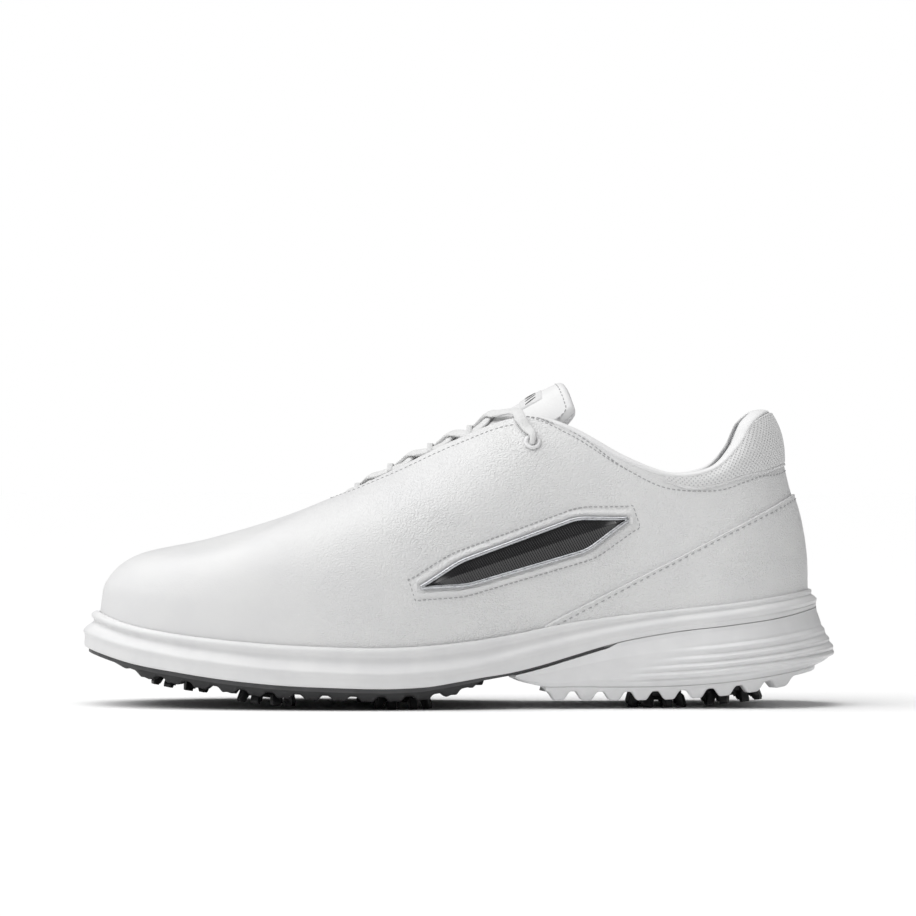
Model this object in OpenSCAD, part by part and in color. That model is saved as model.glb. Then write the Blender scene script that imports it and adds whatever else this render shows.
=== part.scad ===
// Left golf shoe with twist-lock cleats, laced, size EU 42.5.
// X runs from toe to heel, -Y is the outer (lateral) side, Z is up from the ground.

/* [Fit] */
// Length of the sole from toe edge to heel flare
shoe_l = 304; // [290:1:320]
// Greatest width of the sole
shoe_w = 108; // [102:1:114]

/* [Upper] */
// Thickness of the outer leather
leather_t = 1.4; // [1.2:0.1:1.5]
// Gap left between neighbouring layers
layer_gap = 0.2; // [0.15:0.05:0.25]
// Thickness of the textile lining
lining_t = 0.7; // [0.5:0.1:0.8]
// Thickness of the collar padding
collar_foam_t = 3.6; // [2.5:0.1:4]
// Height of the rolled collar edge
roll_h = 2.5; // [2:0.1:3]

/* [Laces] */
// Width of the flat lace
lace_w = 4.4; // [3.8:0.1:4.6]
// Thickness of the flat lace
lace_t = 1.5; // [1.2:0.1:1.6]

/* [Sole] */
// Thickness of the forefoot outsole plate
plate_t = 1.6; // [1.4:0.1:1.9]
// Height of the moulded traction lugs
lug_h = 3.4; // [2.5:0.1:3.6]
// Thickness of the heel outsole plate
heel_plate_t = 2; // [1.8:0.1:2.4]

/* [Cleats] */
// Height of a cleat below the sole
cleat_h = 7; // [6:0.1:7.2]
// Radius to the tips of a cleat's legs
cleat_r = 12; // [11:0.1:12.4]
// Number of legs on a cleat
cleat_legs = 8; // [6:1:9]
// Radius of a cleat's stem
stem_r = 4.6; // [4.2:0.1:4.8]

/* [Hidden] */

// ---- Smooth curves through a few points ----

// Index of the span of table p that holds key x
function span(p, x, i = 0) = i >= len(p) - 2 || x <= p[i + 1][0] ? i : span(p, x, i + 1);
// Slope of column k over span i
function secant(p, k, i) = (p[i + 1][k] - p[i][k]) / (p[i + 1][0] - p[i][0]);
// Slope of column k at row i; flat makes the curve level at both ends
function tangent(p, k, i, flat) =
    i <= 0 || i >= len(p) - 1
    ? (flat ? 0 : secant(p, k, i <= 0 ? 0 : len(p) - 2))
    : let (h0 = p[i][0] - p[i - 1][0], h1 = p[i + 1][0] - p[i][0])
      (secant(p, k, i - 1) * h1 + secant(p, k, i) * h0) / (h0 + h1);
// Value of column k at key x, on a cubic through the table's rows
function smooth(p, x, k = 1, flat = false) =
    let (
        i = span(p, x),
        h = p[i + 1][0] - p[i][0],
        t = min(1, max(0, (x - p[i][0]) / h)),
        m0 = tangent(p, k, i, flat) * h,
        m1 = tangent(p, k, i + 1, flat) * h
    )
    (2 * t ^ 3 - 3 * t ^ 2 + 1) * p[i][k] + (t ^ 3 - 2 * t ^ 2 + t) * m0
    + (3 * t ^ 2 - 2 * t ^ 3) * p[i + 1][k] + (t ^ 3 - t ^ 2) * m1;
// 0 below a, 1 above b, smooth between
function ease(a, b, x) = let (t = min(1, max(0, (x - a) / (b - a)))) t * t * (3 - 2 * t);
function unit(v) = v / norm(v);

// ---- Plan outline of the last ----
// The angle runs from 0 at the toe, along the outer side, through 180 at the heel, and back.

scale_x = shoe_l / 304;
scale_y = shoe_w / 108;
toe_x = -145.5;
heel_x = 140.5;
mid_x = (toe_x + heel_x) / 2;
half_l = (heel_x - toe_x) / 2;
toe_round_x = -88;
heel_round_x = 100;
round_power = 2.25;
// x, outer half width, inner half width, shift of the centre line to the inner side
widths = [
    [-146, 40, 37, 7], [-110, 43, 41, 5], [-80, 47.3, 45.6, 2.5], [-45, 49, 45.4, 0.5],
    [-15, 46, 38, -0.5], [20, 39.5, 30.5, -0.5], [50, 35, 29.5, 0], [85, 33.5, 31.5, 0.5],
    [115, 33.5, 33, 0.5], [142, 33, 33, 0.5]
];
function end_round(x) =
    let (s = x < toe_round_x ? (toe_round_x - x) / (toe_round_x - toe_x)
           : x > heel_round_x ? (x - heel_round_x) / (heel_x - heel_round_x) : 0)
    max(0, 1 - s ^ round_power) ^ (1 / round_power);
function fold(a) = a > 180 ? 360 - a : a;
function side(a) = a > 180 ? 1 : -1;
function centre_y(x) = smooth(widths, x, 3);
function outline(a) =
    let (x = mid_x - half_l * cos(a), w = smooth(widths, x, a > 180 ? 2 : 1))
    [scale_x * x, scale_y * (centre_y(x) + side(a) * w * end_round(x))];
function wrap(a) = a < 0 ? a + 360 : a >= 360 ? a - 360 : a;
// Outward normal of the outline
function out(a) =
    let (d = outline(wrap(a + 1)) - outline(wrap(a - 1)))
    unit([-d[1], d[0]]) * -1;
function plan(a, d) = outline(a) + d * out(a);

// ---- Height curves, as x and z ----

// Floor of the cup that the upper sits in
floor_z = [[-146, 30.5], [-125, 25], [-100, 20.5], [-70, 17.8], [-40, 17], [-10, 18.5],
    [20, 22], [50, 26], [80, 28.5], [110, 30], [142, 31]];
// Top of the midsole's rim
rim_z = [[-146, 37.8], [-135, 34], [-116, 30.2], [-97, 27.9], [-75, 26], [-52, 24.9], [-30, 24.5],
    [-12, 25.3], [5, 27], [20, 29.3], [40, 33.3], [64, 36.8], [86, 39.2], [109, 41.7], [128, 44.5],
    [142, 47]];
// Outer ledge of the welt
ledge_z = [[-146, 31], [-137, 27.8], [-117, 22.9], [-97, 19.8], [-77, 17.3], [-52, 15.7],
    [-30, 15], [-12, 15.8], [8, 18.5], [30, 24], [60, 31], [86, 35.3], [109, 38.2], [128, 41.3],
    [142, 44]];
// Lower edge of the white sidewall
edge_z = [[-146, 23.6], [-128, 18], [-109, 14.6], [-90, 11.9], [-70, 10], [-50, 9.1], [-24, 8.7],
    [-12, 9.4], [-2, 11], [9, 12.9], [20, 14.6], [31, 17.2], [45, 21.3], [62, 26.2], [86, 30.7],
    [109, 33.5], [128, 36.6], [142, 40.4]];
// Underside of the midsole's core
base_z = [[-146, 24], [-128, 18.4], [-109, 15], [-90, 12.3], [-70, 10.4], [-50, 9.5], [-24, 9.1],
    [-12, 9.8], [-2, 11.2], [9, 12.9], [20, 14.2], [45, 17], [80, 19], [142, 20]];
// Underside of the midsole beside the step that its edge makes round the heel
seat_z = [for (x = [-146:12:142]) [x, min(smooth(edge_z, x) + 0.2, smooth(floor_z, x) - 2.2)]];
// Underside of the heel wedge
wedge_z = [[20, 13.5], [26, 10.9], [33, 9.2], [45, 9], [80, 9], [100, 10], [120, 12.4],
    [142, 16.4]];

function z_at(table, x) = smooth(table, x / scale_x);
function ring_angles(n) = [for (i = [0:2 * n - 1]) 180 * i / n];
// One ring of the sole: offset curve d and height curve z, both functions of x
function ring(angles, d, z, dz = 0) =
    [for (a = angles) let (p = outline(a), q = plan(a, smooth(d, p[0] / scale_x)))
        [q[0], q[1], z_at(z, p[0]) + dz]];
function level(d) = [[-146, d], [142, d]];

// ---- Solids from stacked rings ----

// The two triangles between rows k and q at points i and j. Rows of an upper and of a lower face
// split the same way, so that layers nest.
function quad(m, k, q, i, j, turned = false) =
    turned
    ? [[k * m + i, q * m + i, k * m + j], [k * m + j, q * m + i, q * m + j]]
    : [[k * m + i, q * m + i, q * m + j], [k * m + i, q * m + j, k * m + j]];
// Levels are rings of m points each. A closed ring goes all the way round, and an open one has
// its two ends side by side. Levels from upper on run back inwards over the top.
module loft(levels, closed = true, upper = 99) {
    m = len(levels[0]);
    n = len(levels);
    last = closed ? m - 1 : m - 2;
    walls = [for (k = [0:n - 2], i = [0:last]) each quad(m, k, k + 1, i, (i + 1) % m, k >= upper)];
    polyhedron(
        [for (l = levels) each l],
        concat(walls, ladder(m, 0, closed, false), ladder(m, (n - 1) * m, closed, true),
            closed ? [] : front(m, n))
    );
}
// Triangles that close one ring straight across
function ladder(m, base, closed, flip) =
    let (
        pair = function (i) closed ? (m - i) % m : m - 1 - i,
        first = closed ? 1 : 0,
        tip = floor(closed ? m / 2 : (m - 1) / 2),
        raw = concat(
            closed ? [[0, 1, m - 1]] : [],
            [for (i = [first:tip - 2]) each [[i, i + 1, pair(i + 1)], [i, pair(i + 1), pair(i)]]],
            [[tip - 1, tip, pair(tip - 1)]]
        )
    )
    [for (t = raw) flip ? [t[0] + base, t[2] + base, t[1] + base] : t + [base, base, base]];
// Triangles that close the two ends of an open ring, and the strip between them
function front(m, n) =
    let (b = (n - 1) * m, e = m - 1)
    concat(
        [[0, b + e, b], [0, e, b + e]],
        [for (k = [0:n / 2 - 2]) let (k1 = k * m, k2 = k1 + m, q1 = b - k1, q2 = q1 - m)
            each [[k2, k1, q1], [k2, q1, q2], [k1 + e, k2 + e, q2 + e], [k1 + e, q2 + e, q1 + e]]]
    );

// ---- Sockets and cleats ----

// Name, x, y, tilt about Y in degrees, drop of the sole surface there
cleat_sites = [
    ["toe", -112, 5, 9.5, 13.5], ["front_lateral", -76, -29, 5, 9],
    ["front_medial", -82, 29, 5.5, 9.4], ["ball_lateral", -22, -29, 0, 7],
    ["ball_medial", -30, 26, 0, 7], ["heel_lateral", 80, -15.5, 0, 7],
    ["heel_medial", 80, 15.5, 0, 7], ["rear_lateral", 110, -13.5, -6, 8.9],
    ["rear_medial", 110, 13.5, -6, 8.9]
];
function site(name) = [for (s = cleat_sites) if (s[0] == name) s][0];
socket_r = 8;
socket_flange_r = 9.6;
socket_h = 4.8;
stem_play = 0.08;
ear_r = stem_r + 1.4;
lock_turn = 60;
module at_site(s) {
    translate([scale_x * s[1], scale_y * s[2], s[4]]) rotate([0, s[3], 0]) children();
}
// Room for the sockets in the layers above the ground
module socket_pockets(sites) {
    for (s = sites) at_site(s) {
        translate([0, 0, -4]) cylinder(r = socket_r + 0.1, h = 4 + socket_h + 0.1, $fn = 48);
        translate([0, 0, 1.9]) cylinder(r = socket_flange_r + 0.1, h = 1.4, $fn = 48);
    }
}
module socket(name) {
    color("dimgray") at_site(site(name)) difference() {
        union() {
            translate([0, 0, 0.1]) cylinder(r = socket_r, h = socket_h - 0.1, $fn = 48);
            translate([0, 0, 2]) cylinder(r = socket_flange_r, h = 1.2, $fn = 48);
        }
        translate([0, 0, -1]) cylinder(r = stem_r + stem_play, h = socket_h, $fn = 48);
        translate([0, 0, 2.1]) cylinder(r = ear_r + 0.4, h = 1.7, $fn = 48);
        for (i = [0:2]) rotate(120 * i + lock_turn) sector(ear_r + 0.2, 44, -1, 2.6);
    }
}
// A wedge of a disc, wide degrees wide, from z0 to z1
module sector(r, wide, z0, z1) {
    translate([0, 0, z0]) intersection() {
        cylinder(r = r, h = z1 - z0, $fn = 48);
        linear_extrude(height = z1 - z0)
            polygon([[0, 0], [2 * r * cos(wide / 2), -2 * r * sin(wide / 2)],
                [2 * r * cos(wide / 2), 2 * r * sin(wide / 2)]]);
    }
}
module cleat(name) {
    color([0.05, 0.05, 0.06]) at_site(site(name)) difference() {
        union() {
            rotate_extrude($fn = 64)
                polygon([[0, -4.3], [3.5, -4.2], [7.2, -3.4], [9.4, -2.2], [9.8, -1.2], [9.6, -0.3],
                    [0, -0.3]]);
            translate([0, 0, -0.6]) cylinder(r = stem_r, h = 4, $fn = 48);
            for (i = [0:2]) rotate(120 * i) sector(ear_r, 36, 2.3, 3.3);
            for (i = [0:cleat_legs - 1]) rotate(360 * (i + 0.5) / cleat_legs) leg();
        }
        for (i = [-1, 1]) translate([4.2 * i, 0, -5]) cylinder(r = 1.5, h = 2.9, $fn = 6);
    }
}
// One leg of a cleat, in its radial plane
module leg() {
    w = 3.2;
    translate([0, w / 2, 0]) rotate([90, 0, 0]) linear_extrude(height = w)
        polygon([[5, -0.8], [9, -0.8], [11, -2.4], [cleat_r, -cleat_h + 1.2], [cleat_r - 0.3, -cleat_h],
            [cleat_r - 2.4, -cleat_h], [8, -3.9], [5, -3.4]]);
}

// ---- Sole ----

front_sites = [for (i = [0:4]) cleat_sites[i]];
heel_sites = [for (i = [5:8]) cleat_sites[i]];
ring_n = 36;

// Sideways reach of the sole beyond the last, by x
rim_out = level(1.4);
groove_out = [[-146, 2.9], [-20, 2.6], [30, 2.4], [142, 2.6]];
ledge_out = [[-146, 5.4], [-60, 4.2], [-15, 3.9], [20, 3.2], [142, 3.6]];
wall_out = [[-146, 6.5], [-60, 5.2], [-15, 4.8], [20, 3.9], [70, 3.9], [142, 4.6]];
edge_out = [[-146, 5.4], [-60, 4.6], [-15, 4.2], [20, 3.6], [70, 3.6], [142, 4.6]];

// Rings of the surface where the midsole meets what is under it, from the core to the edge
function seat(angles, drop = 0, step = 0, edge_grow = 0) = [
    ring(angles, level(-15), base_z, -drop),
    ring(angles, level(-9), base_z, -drop),
    ring(angles, level(1.4 + step), seat_z, -drop),
    ring(angles, level(2.3 + step), edge_z, -drop),
    ring(angles, [for (r = edge_out) [r[0], r[1] + edge_grow]], edge_z, -drop)
];
module midsole() {
    angles = ring_angles(ring_n);
    color([0.93, 0.93, 0.92]) difference() {
        loft(concat(seat(angles), [
            ring(angles, wall_out, edge_z, 1.6),
            ring(angles, wall_out, ledge_z, -1.8),
            ring(angles, ledge_out, ledge_z),
            ring(angles, groove_out, rim_z, -3),
            ring(angles, rim_out, rim_z, -0.3),
            ring(angles, level(0.5), rim_z),
            ring(angles, level(0.25), rim_z, -1),
            ring(angles, level(0.25), floor_z)
        ]));
        shank_strip(0.15, 0.2);
        socket_pockets(front_sites);
    }
}

// A long flat strip on the floor under the foot
module shank_strip(grow, rise) {
    stations = [for (i = [0:14]) -18 - grow + (112 + 2 * grow) * i / 14];
    section = function (x) let (w = 11 + 4 * ease(20, 80, x) + grow, z = z_at(floor_z, x) - 1.5 - grow)
        [[x, -w, z], [x, w, z], [x, w, z + 1.4 + rise + grow], [x, -w, z + 1.4 + rise + grow]];
    bar([for (x = stations) section(x)]);
}
module shank_plate() {
    color([0.2, 0.2, 0.22]) shank_strip(0, 0);
}
// A solid through equal sections, closed by a flat face at both ends
module bar(sections) {
    m = len(sections[0]);
    n = len(sections);
    polyhedron(
        [for (s = sections) each s],
        concat(
            [for (k = [0:n - 2], i = [0:m - 1]) each quad(m, k, k + 1, i, (i + 1) % m)],
            [for (i = [1:m - 2]) [0, i, i + 1]],
            [for (i = [1:m - 2]) let (b = (n - 1) * m) [b, b + i + 1, b + i]]
        )
    );
}

// Angle at which the last reaches x
function angle_at(x) = acos((mid_x - x) / half_l);
wedge_mid_out = [[20, 3.4], [60, 5.2], [100, 6.2], [142, 7]];
wedge_flare_out = [[20, 2.6], [45, 4.6], [70, 6.4], [110, 8], [142, 11.6]];
wedge_foot_out = [[20, 1], [45, 3], [80, 3.6], [142, 4]];
plate_end_x = 58;
// Thickness of the outsole plate at x, thin along the arch
function plate_at(x) = plate_t + (1 - plate_t) * ease(-12, 18, x);
// Height share between the wedge's underside and its top
function between_z(share) = [for (x = [15:8:143])
    [x, smooth(wedge_z, x) * (1 - share) + (smooth(edge_z, x) - 1.3) * share]];
module heel_wedge() {
    angles = spread(100, 260);
    under = function (x) 0.3 + 1.1 * (1 - ease(plate_end_x + 1, plate_end_x + 6, x));
    top = seat(angles, 0, 0.35);
    color([0.94, 0.94, 0.93]) difference() {
        loft([
            ring(angles, level(-12), wedge_z),
            ring(angles, wedge_foot_out, wedge_z),
            ring(angles, wedge_flare_out, between_z(0.2)),
            ring(angles, wedge_flare_out, between_z(0.32)),
            ring(angles, wedge_mid_out, between_z(0.7)),
            for (i = [4:-1:0]) [for (p = top[i]) [p[0], p[1], p[2] - under(p[0] / scale_x)]]
        ], false, 5);
        socket_pockets(heel_sites);
    }
}

lug_sites_heel = [40, 51, 62, 73, 84, 95, 106, 117, 128];
module heel_outsole() {
    angles = spread(105, 255);
    color([0.94, 0.94, 0.93]) difference() {
        union() {
            loft([
                ring(angles, level(-12), wedge_z, -heel_plate_t),
                ring(angles, wedge_foot_out, wedge_z, -heel_plate_t),
                ring(angles, wedge_foot_out, wedge_z, -0.1),
                ring(angles, level(-12), wedge_z, -0.1)
            ], false, 2);
            for (x = lug_sites_heel, s = [0, 1]) let (a = angle_at(x), at = plan(s ? 360 - a : a, -0.6))
                heel_lug(at, z_at(wedge_z, x * scale_x), (s ? 1 : -1));
        }
        socket_pockets(heel_sites);
    }
}
// A tapered tread block at the edge of the heel
module heel_lug(at, z, s) {
    top = z - heel_plate_t + 0.8;
    translate([at[0], at[1] - s * 1.5, top - lug_h - 0.8]) rotate([90, 0, 0])
        translate([0, 0, -3]) linear_extrude(height = 6)
            polygon([[-1.6, 0], [1.6, 0], [3.8, lug_h + 0.8], [-3.8, lug_h + 0.8]]);
}

module outsole_plate() {
    angles = spread(-115, 115);
    sunk = function (p) [p[0], p[1], p[2] - plate_at(p[0] / scale_x)];
    top = seat(angles, 0.15, 0.15, -0.7);
    color([0.28, 0.28, 0.29]) difference() {
        loft(concat(
            [for (i = [0:4]) [for (p = top[i]) sunk(p)]],
            [for (i = [4:-1:0]) top[i]]
        ), false, 5);
        socket_pockets(front_sites);
    }
}

// Distance of the tread blocks under the plate, which keeps them off its curved toe
lug_drop = 0.45;
// Black tread blocks under the forefoot, along both edges and down the middle
module forefoot_lugs() {
    color([0.06, 0.06, 0.07]) {
        for (x = [-124:11:8], s = [-1, 1]) {
            a = s < 0 ? angle_at(x) : 360 - angle_at(x);
            forefoot_lug(plan(a, -0.6)[1], x, 3.6, 4.6, edge_z, lug_h);
            if (x > -120 && abs(x + 27) > 16 && abs(x + 79) > 18)
                forefoot_lug(plan(a, -22)[1], x, 2.4, 5.2, base_z, lug_h - 0.9);
        }
        for (x = [-96:15:2]) forefoot_lug(0, x, 2.4, 5.2, base_z, lug_h - 0.9);
    }
}
// A tapered block at x and y, as long as 2 * half, that hangs h below the plate under height curve z
module forefoot_lug(y, x, half, w, z, h) {
    top = [for (t = [1:-0.5:-1]) let (q = x + half * t)
        [scale_x * q, smooth(z, q) - lug_drop - plate_at(q)]];
    low = smooth(z, x) - lug_drop - plate_at(x) - h;
    translate([0, y + w / 2, 0]) rotate([90, 0, 0]) linear_extrude(height = w)
        polygon(concat([[scale_x * (x - half * 0.6), low], [scale_x * (x + half * 0.6), low]], top));
}

// ---- Insole ----

// A flat sheet on the floor of the shoe, between two heights above it
module floor_sheet(inset, low, high) {
    angles = ring_angles(24);
    loft([
        ring(angles, level(-15), floor_z, low),
        ring(angles, level(-inset), floor_z, low),
        ring(angles, level(-inset), floor_z, high),
        ring(angles, level(-15), floor_z, high)
    ], true, 2);
}
module strobel_board() {
    color([0.85, 0.83, 0.78]) floor_sheet(4.1, 0.3, 1.3);
}
module sockliner_foam() {
    color([0.75, 0.76, 0.78]) floor_sheet(4.4, 1.7, 5);
}
module sockliner_cloth() {
    color([0.6, 0.61, 0.63]) floor_sheet(4.4, 5.4, 6);
}

// ---- Surface of the upper ----

// Edge of the opening by angle: x, half width, z
top_edge = [
    [0, -48, 0, 85.2], [25, -47.4, 5, 85.4], [50, -45, 9.6, 86.5], [68, -38, 12.6, 89.7],
    [80, -22, 13.8, 97.4], [90, -1, 15, 107.7], [100, 24, 18.3, 116.6], [110, 45, 24.5, 111],
    [120, 66, 29.5, 99.4], [130, 85, 31, 92.6], [140, 101, 29, 94.6], [150, 111, 26, 103.2],
    [160, 117.5, 21, 113.2], [170, 124, 12.5, 117.6], [180, 127, 0, 118.2]
];
// Rise of the upper by angle: share inwards and share upwards at four stations
rise = [
    [0, 0.03, 0.27, 0.16, 0.485, 0.45, 0.62, 0.75, 0.8],
    [30, 0.03, 0.28, 0.15, 0.5, 0.42, 0.65, 0.72, 0.82],
    [60, 0, 0.29, 0.1, 0.54, 0.32, 0.74, 0.66, 0.89],
    [90, -0.02, 0.22, 0.03, 0.45, 0.2, 0.68, 0.55, 0.87],
    [105, -0.06, 0.22, 0, 0.43, 0.16, 0.64, 0.5, 0.84],
    [120, -0.1, 0.22, 0, 0.42, 0.2, 0.62, 0.5, 0.82],
    [150, 0.03, 0.2, 0.16, 0.4, 0.44, 0.6, 0.74, 0.81],
    [180, 0.03, 0.2, 0.2, 0.4, 0.5, 0.6, 0.76, 0.82]
];
function throat_shift(x) = 2 * (1 - ease(-60, 40, x));
function top_at(a) =
    let (f = fold(a), x = smooth(top_edge, f, 1, true), y = smooth(top_edge, f, 2))
    [scale_x * x, scale_y * (throat_shift(x) + side(a) * y), smooth(top_edge, f, 3, true)];
// Station v of a rib runs from 0 at the rim to 1 at the opening, and to -1 down in the cup
function share(a, v, k) =
    let (r = [for (i = [0:3]) smooth(rise, fold(a), 2 * i + k, true)])
    smooth([[0, 0], [0.2, r[0]], [0.4, r[1]], [0.6, r[2]], [0.8, r[3]], [1, 1]], v);
function spot(a, v) =
    let (o = outline(a), rim = z_at(rim_z, o[0]), low = z_at(floor_z, o[0]) + 0.2, t = top_at(a))
    v < 0
    ? [o[0], o[1], rim + (rim - low) * v]
    : let (s = share(a, v, 1), h = share(a, v, 2))
      [o[0] + (t[0] - o[0]) * s, o[1] + (t[1] - o[1]) * s, rim + (t[2] - rim) * h];
function skin_out(a, v) =
    let (
        da = spot(wrap(a + 1.5), v) - spot(wrap(a - 1.5), v),
        dv = v < 0.01 ? spot(a, v + 0.05) - spot(a, v - 0.05) : spot(a, min(1, v + 0.04)) - spot(a, v - 0.04)
    )
    unit(cross(da, dv));
// Point at a distance d outside the surface
function skin(a, v, d) = d == 0 ? spot(a, v) : spot(a, v) + d * skin_out(a, v);

// A sheet on the surface. Its rows lie between the stations low and high give by angle, and
// outer and inner give the distance from the surface by angle and station.
module sheet(angles, rows, low, high, outer, inner, closed = false) {
    grid = function (far) [for (r = rows) [for (a = angles)
        let (v = low(a) + (high(a) - low(a)) * r) skin(a, v, far(a, v))]];
    slab(grid(outer), grid(inner), closed);
}
// A solid between two grids of points, up being the outer one
module slab(up, down, closed = false) {
    n = len(up) - 1;
    m = len(up[0]);
    levels = concat(up, [for (j = [n:-1:0]) down[j]]);
    rows = len(levels);
    last = closed ? m - 1 : m - 2;
    walls = [for (k = [0:rows - 1], i = [0:last])
        each quad(m, k, (k + 1) % rows, i, (i + 1) % m, k > n)];
    ends = closed ? [] : [for (k = [0:n - 1]) let (q = rows - 1 - k)
        each [[k * m, q * m, (q - 1) * m], [k * m, (q - 1) * m, (k + 1) * m],
            [k * m + m - 1, (q - 1) * m + m - 1, q * m + m - 1],
            [k * m + m - 1, (k + 1) * m + m - 1, (q - 1) * m + m - 1]]];
    polyhedron([for (l = levels) each l], concat(walls, ends));
}
function spread(a0, a1) = [for (a = [a0:5:a1]) wrap(a)];
function even(n) = [for (i = [0:n]) i / n];
// Rows of the layers, the same in each so that they nest
function rows(v0, v1) = concat([v0], [for (v = [-0.5, 0, 0.1, 0.2, 0.3, 0.4, 0.5, 0.6, 0.7, 0.8, 0.9])
    if (v > v0 + 0.03 && v < v1 - 0.03) v], [v1]);
function always(v) = function (a) v;
function thick(d) = function (a, v) d;

// Angles of the two seams where the pieces of leather meet edge to edge
back_seam = 180;
medial_seam = 300;
seam_play = 0.1;
// A piece of the outer leather from angle a0 round to a1, with the top eyelet's hole on side s
module leather_piece(a0, a1, s) {
    angles = concat([wrap(a0 + seam_play)], spread(a0 + 5, a1 - 5), [wrap(a1 - seam_play)]);
    color([0.93, 0.93, 0.92]) difference() {
        sheet(angles, rows(-0.97, 1), always(0), always(1), thick(0), thick(-leather_t));
        eyelet_at(s) cylinder(r = eyelet_r + 0.9, h = 12, center = true, $fn = 32);
    }
}
module vamp_and_lateral_quarter() {
    leather_piece(medial_seam - 360, back_seam, -1);
}
module medial_quarter() {
    leather_piece(back_seam, medial_seam, 1);
}
heel_foxing_top = [[104, 0.025], [112, 0.1], [120, 0.22], [130, 0.4], [140, 0.55], [150, 0.57],
    [160, 0.54], [180, 0.53]];
mesh_low = [[129, 0.95], [134, 0.91], [140, 0.89], [150, 0.815], [160, 0.72], [170, 0.7], [180, 0.7]];
module heel_foxing() {
    color([0.94, 0.94, 0.93])
        sheet(spread(105, 255), even(6), always(0.02),
            function (a) smooth(heel_foxing_top, fold(a), 1, true), thick(1.25), thick(0.2));
}
// Crown of the collar pad, 0 at its edges
function crown(a, v) =
    let (low = smooth(mesh_low, max(129, fold(a)), 1, true), t = (v - low) / (0.985 - low))
    sin(180 * min(1, max(0, t))) * ease(129, 150, fold(a));
module collar_mesh() {
    color([0.88, 0.88, 0.88])
        sheet(spread(130, 230), even(5), function (a) smooth(mesh_low, fold(a), 1, true),
            always(0.985), function (a, v) 0.6 + 1.1 * crown(a, v), thick(0.15));
}
// Depth of the lining behind the outer surface
function lining_depth(a, v) =
    let (f = fold(a))
    leather_t + layer_gap + max(
        (1 - ease(50, 58, f)) * (1 - ease(0.48, 0.62, v)) * 1,
        ease(112, 124, f) * (1 - ease(0.58, 0.7, v)) * 1.4,
        ease(50, 58, f) * (1 - ease(104, 112, f)) * ease(0.62, 0.72, v) * 0.9,
        ease(104, 118, f) * ease(0.5, 0.64, v) * (collar_foam_t + layer_gap)
    );
module lining() {
    color([0.8, 0.8, 0.81]) difference() {
        sheet(ring_angles(36), rows(-0.96, 1), always(0), always(1),
            function (a, v) -lining_depth(a, v),
            function (a, v) -lining_depth(a, v) - lining_t, true);
        for (s = [-1, 1]) eyelet_at(s) cylinder(r = eyelet_r + 0.9, h = 12, center = true, $fn = 32);
    }
}
module collar_foam() {
    color([0.55, 0.6, 0.66])
        sheet(spread(120, 240), rows(0.7, 1), always(0), always(1), thick(-leather_t - layer_gap),
            thick(-leather_t - collar_foam_t + 0.1));
}
module collar_roll() {
    angles = [for (i = [0:44]) 109 + 142 * i / 44];
    sections = [for (i = [0:len(angles) - 1])
        let (
            a = angles[i],
            grow = min(1, 0.35 + min(i, len(angles) - 1 - i) / 5),
            n = skin_out(a, 0.97),
            flat = unit([n[0], n[1], 0]),
            wide = (leather_t + lining_t + 0.7 + collar_foam_t * ease(106, 122, fold(a))) / 2,
            c = spot(a, 1) - flat * (wide - 0.3) + [0, 0, roll_h / 2 + 0.3]
        )
        [for (k = [0:9]) c + flat * wide * grow * cos(36 * k) - [0, 0, roll_h / 2 * grow * sin(36 * k)]]];
    color([0.82, 0.82, 0.83]) bar(sections);
}
module heel_counter() {
    color([0.3, 0.3, 0.32])
        sheet(spread(130, 230), rows(-0.9, 0.5), always(0), always(1), thick(-leather_t - layer_gap),
            thick(-leather_t - layer_gap - 1.1));
}
module toe_puff() {
    color([0.35, 0.35, 0.36])
        sheet(spread(-45, 45), rows(0, 0.4), always(0), always(1), thick(-leather_t - layer_gap),
            thick(-leather_t - layer_gap - 0.7));
}
module eyestay(s) {
    angles = s < 0 ? spread(60, 105) : spread(255, 300);
    color([0.7, 0.7, 0.72]) difference() {
        sheet(angles, rows(0.8, 1), always(0), always(1), thick(-leather_t - layer_gap),
            thick(-leather_t - layer_gap - 0.6));
        eyelet_at(s) cylinder(r = eyelet_r + 0.9, h = 12, center = true, $fn = 32);
    }
}
module eyestay_lateral() {
    eyestay(-1);
}
module eyestay_medial() {
    eyestay(1);
}

// ---- Eyelets ----

eyelet_r = 1.7;
eyelet_angle = 102.8;
eyelet_v = 0.845;
// Places a child at the top eyelet, with Z along the surface's normal
module eyelet_at(s) {
    a = s < 0 ? eyelet_angle : 360 - eyelet_angle;
    n = skin_out(a, eyelet_v);
    translate(spot(a, eyelet_v)) rotate([0, acos(n[2]), atan2(n[1], n[0])]) children();
}
module eyelet_rings() {
    color([0.9, 0.9, 0.89]) for (s = [-1, 1]) eyelet_at(s) rotate_extrude($fn = 32)
        polygon([[eyelet_r, -2.9], [eyelet_r + 0.7, -2.9], [eyelet_r + 0.7, 0.3], [3.4, 0.3],
            [3.2, 0.9], [eyelet_r + 0.3, 0.9], [eyelet_r, 0.5]]);
}

// ---- Emblem ----

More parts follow.
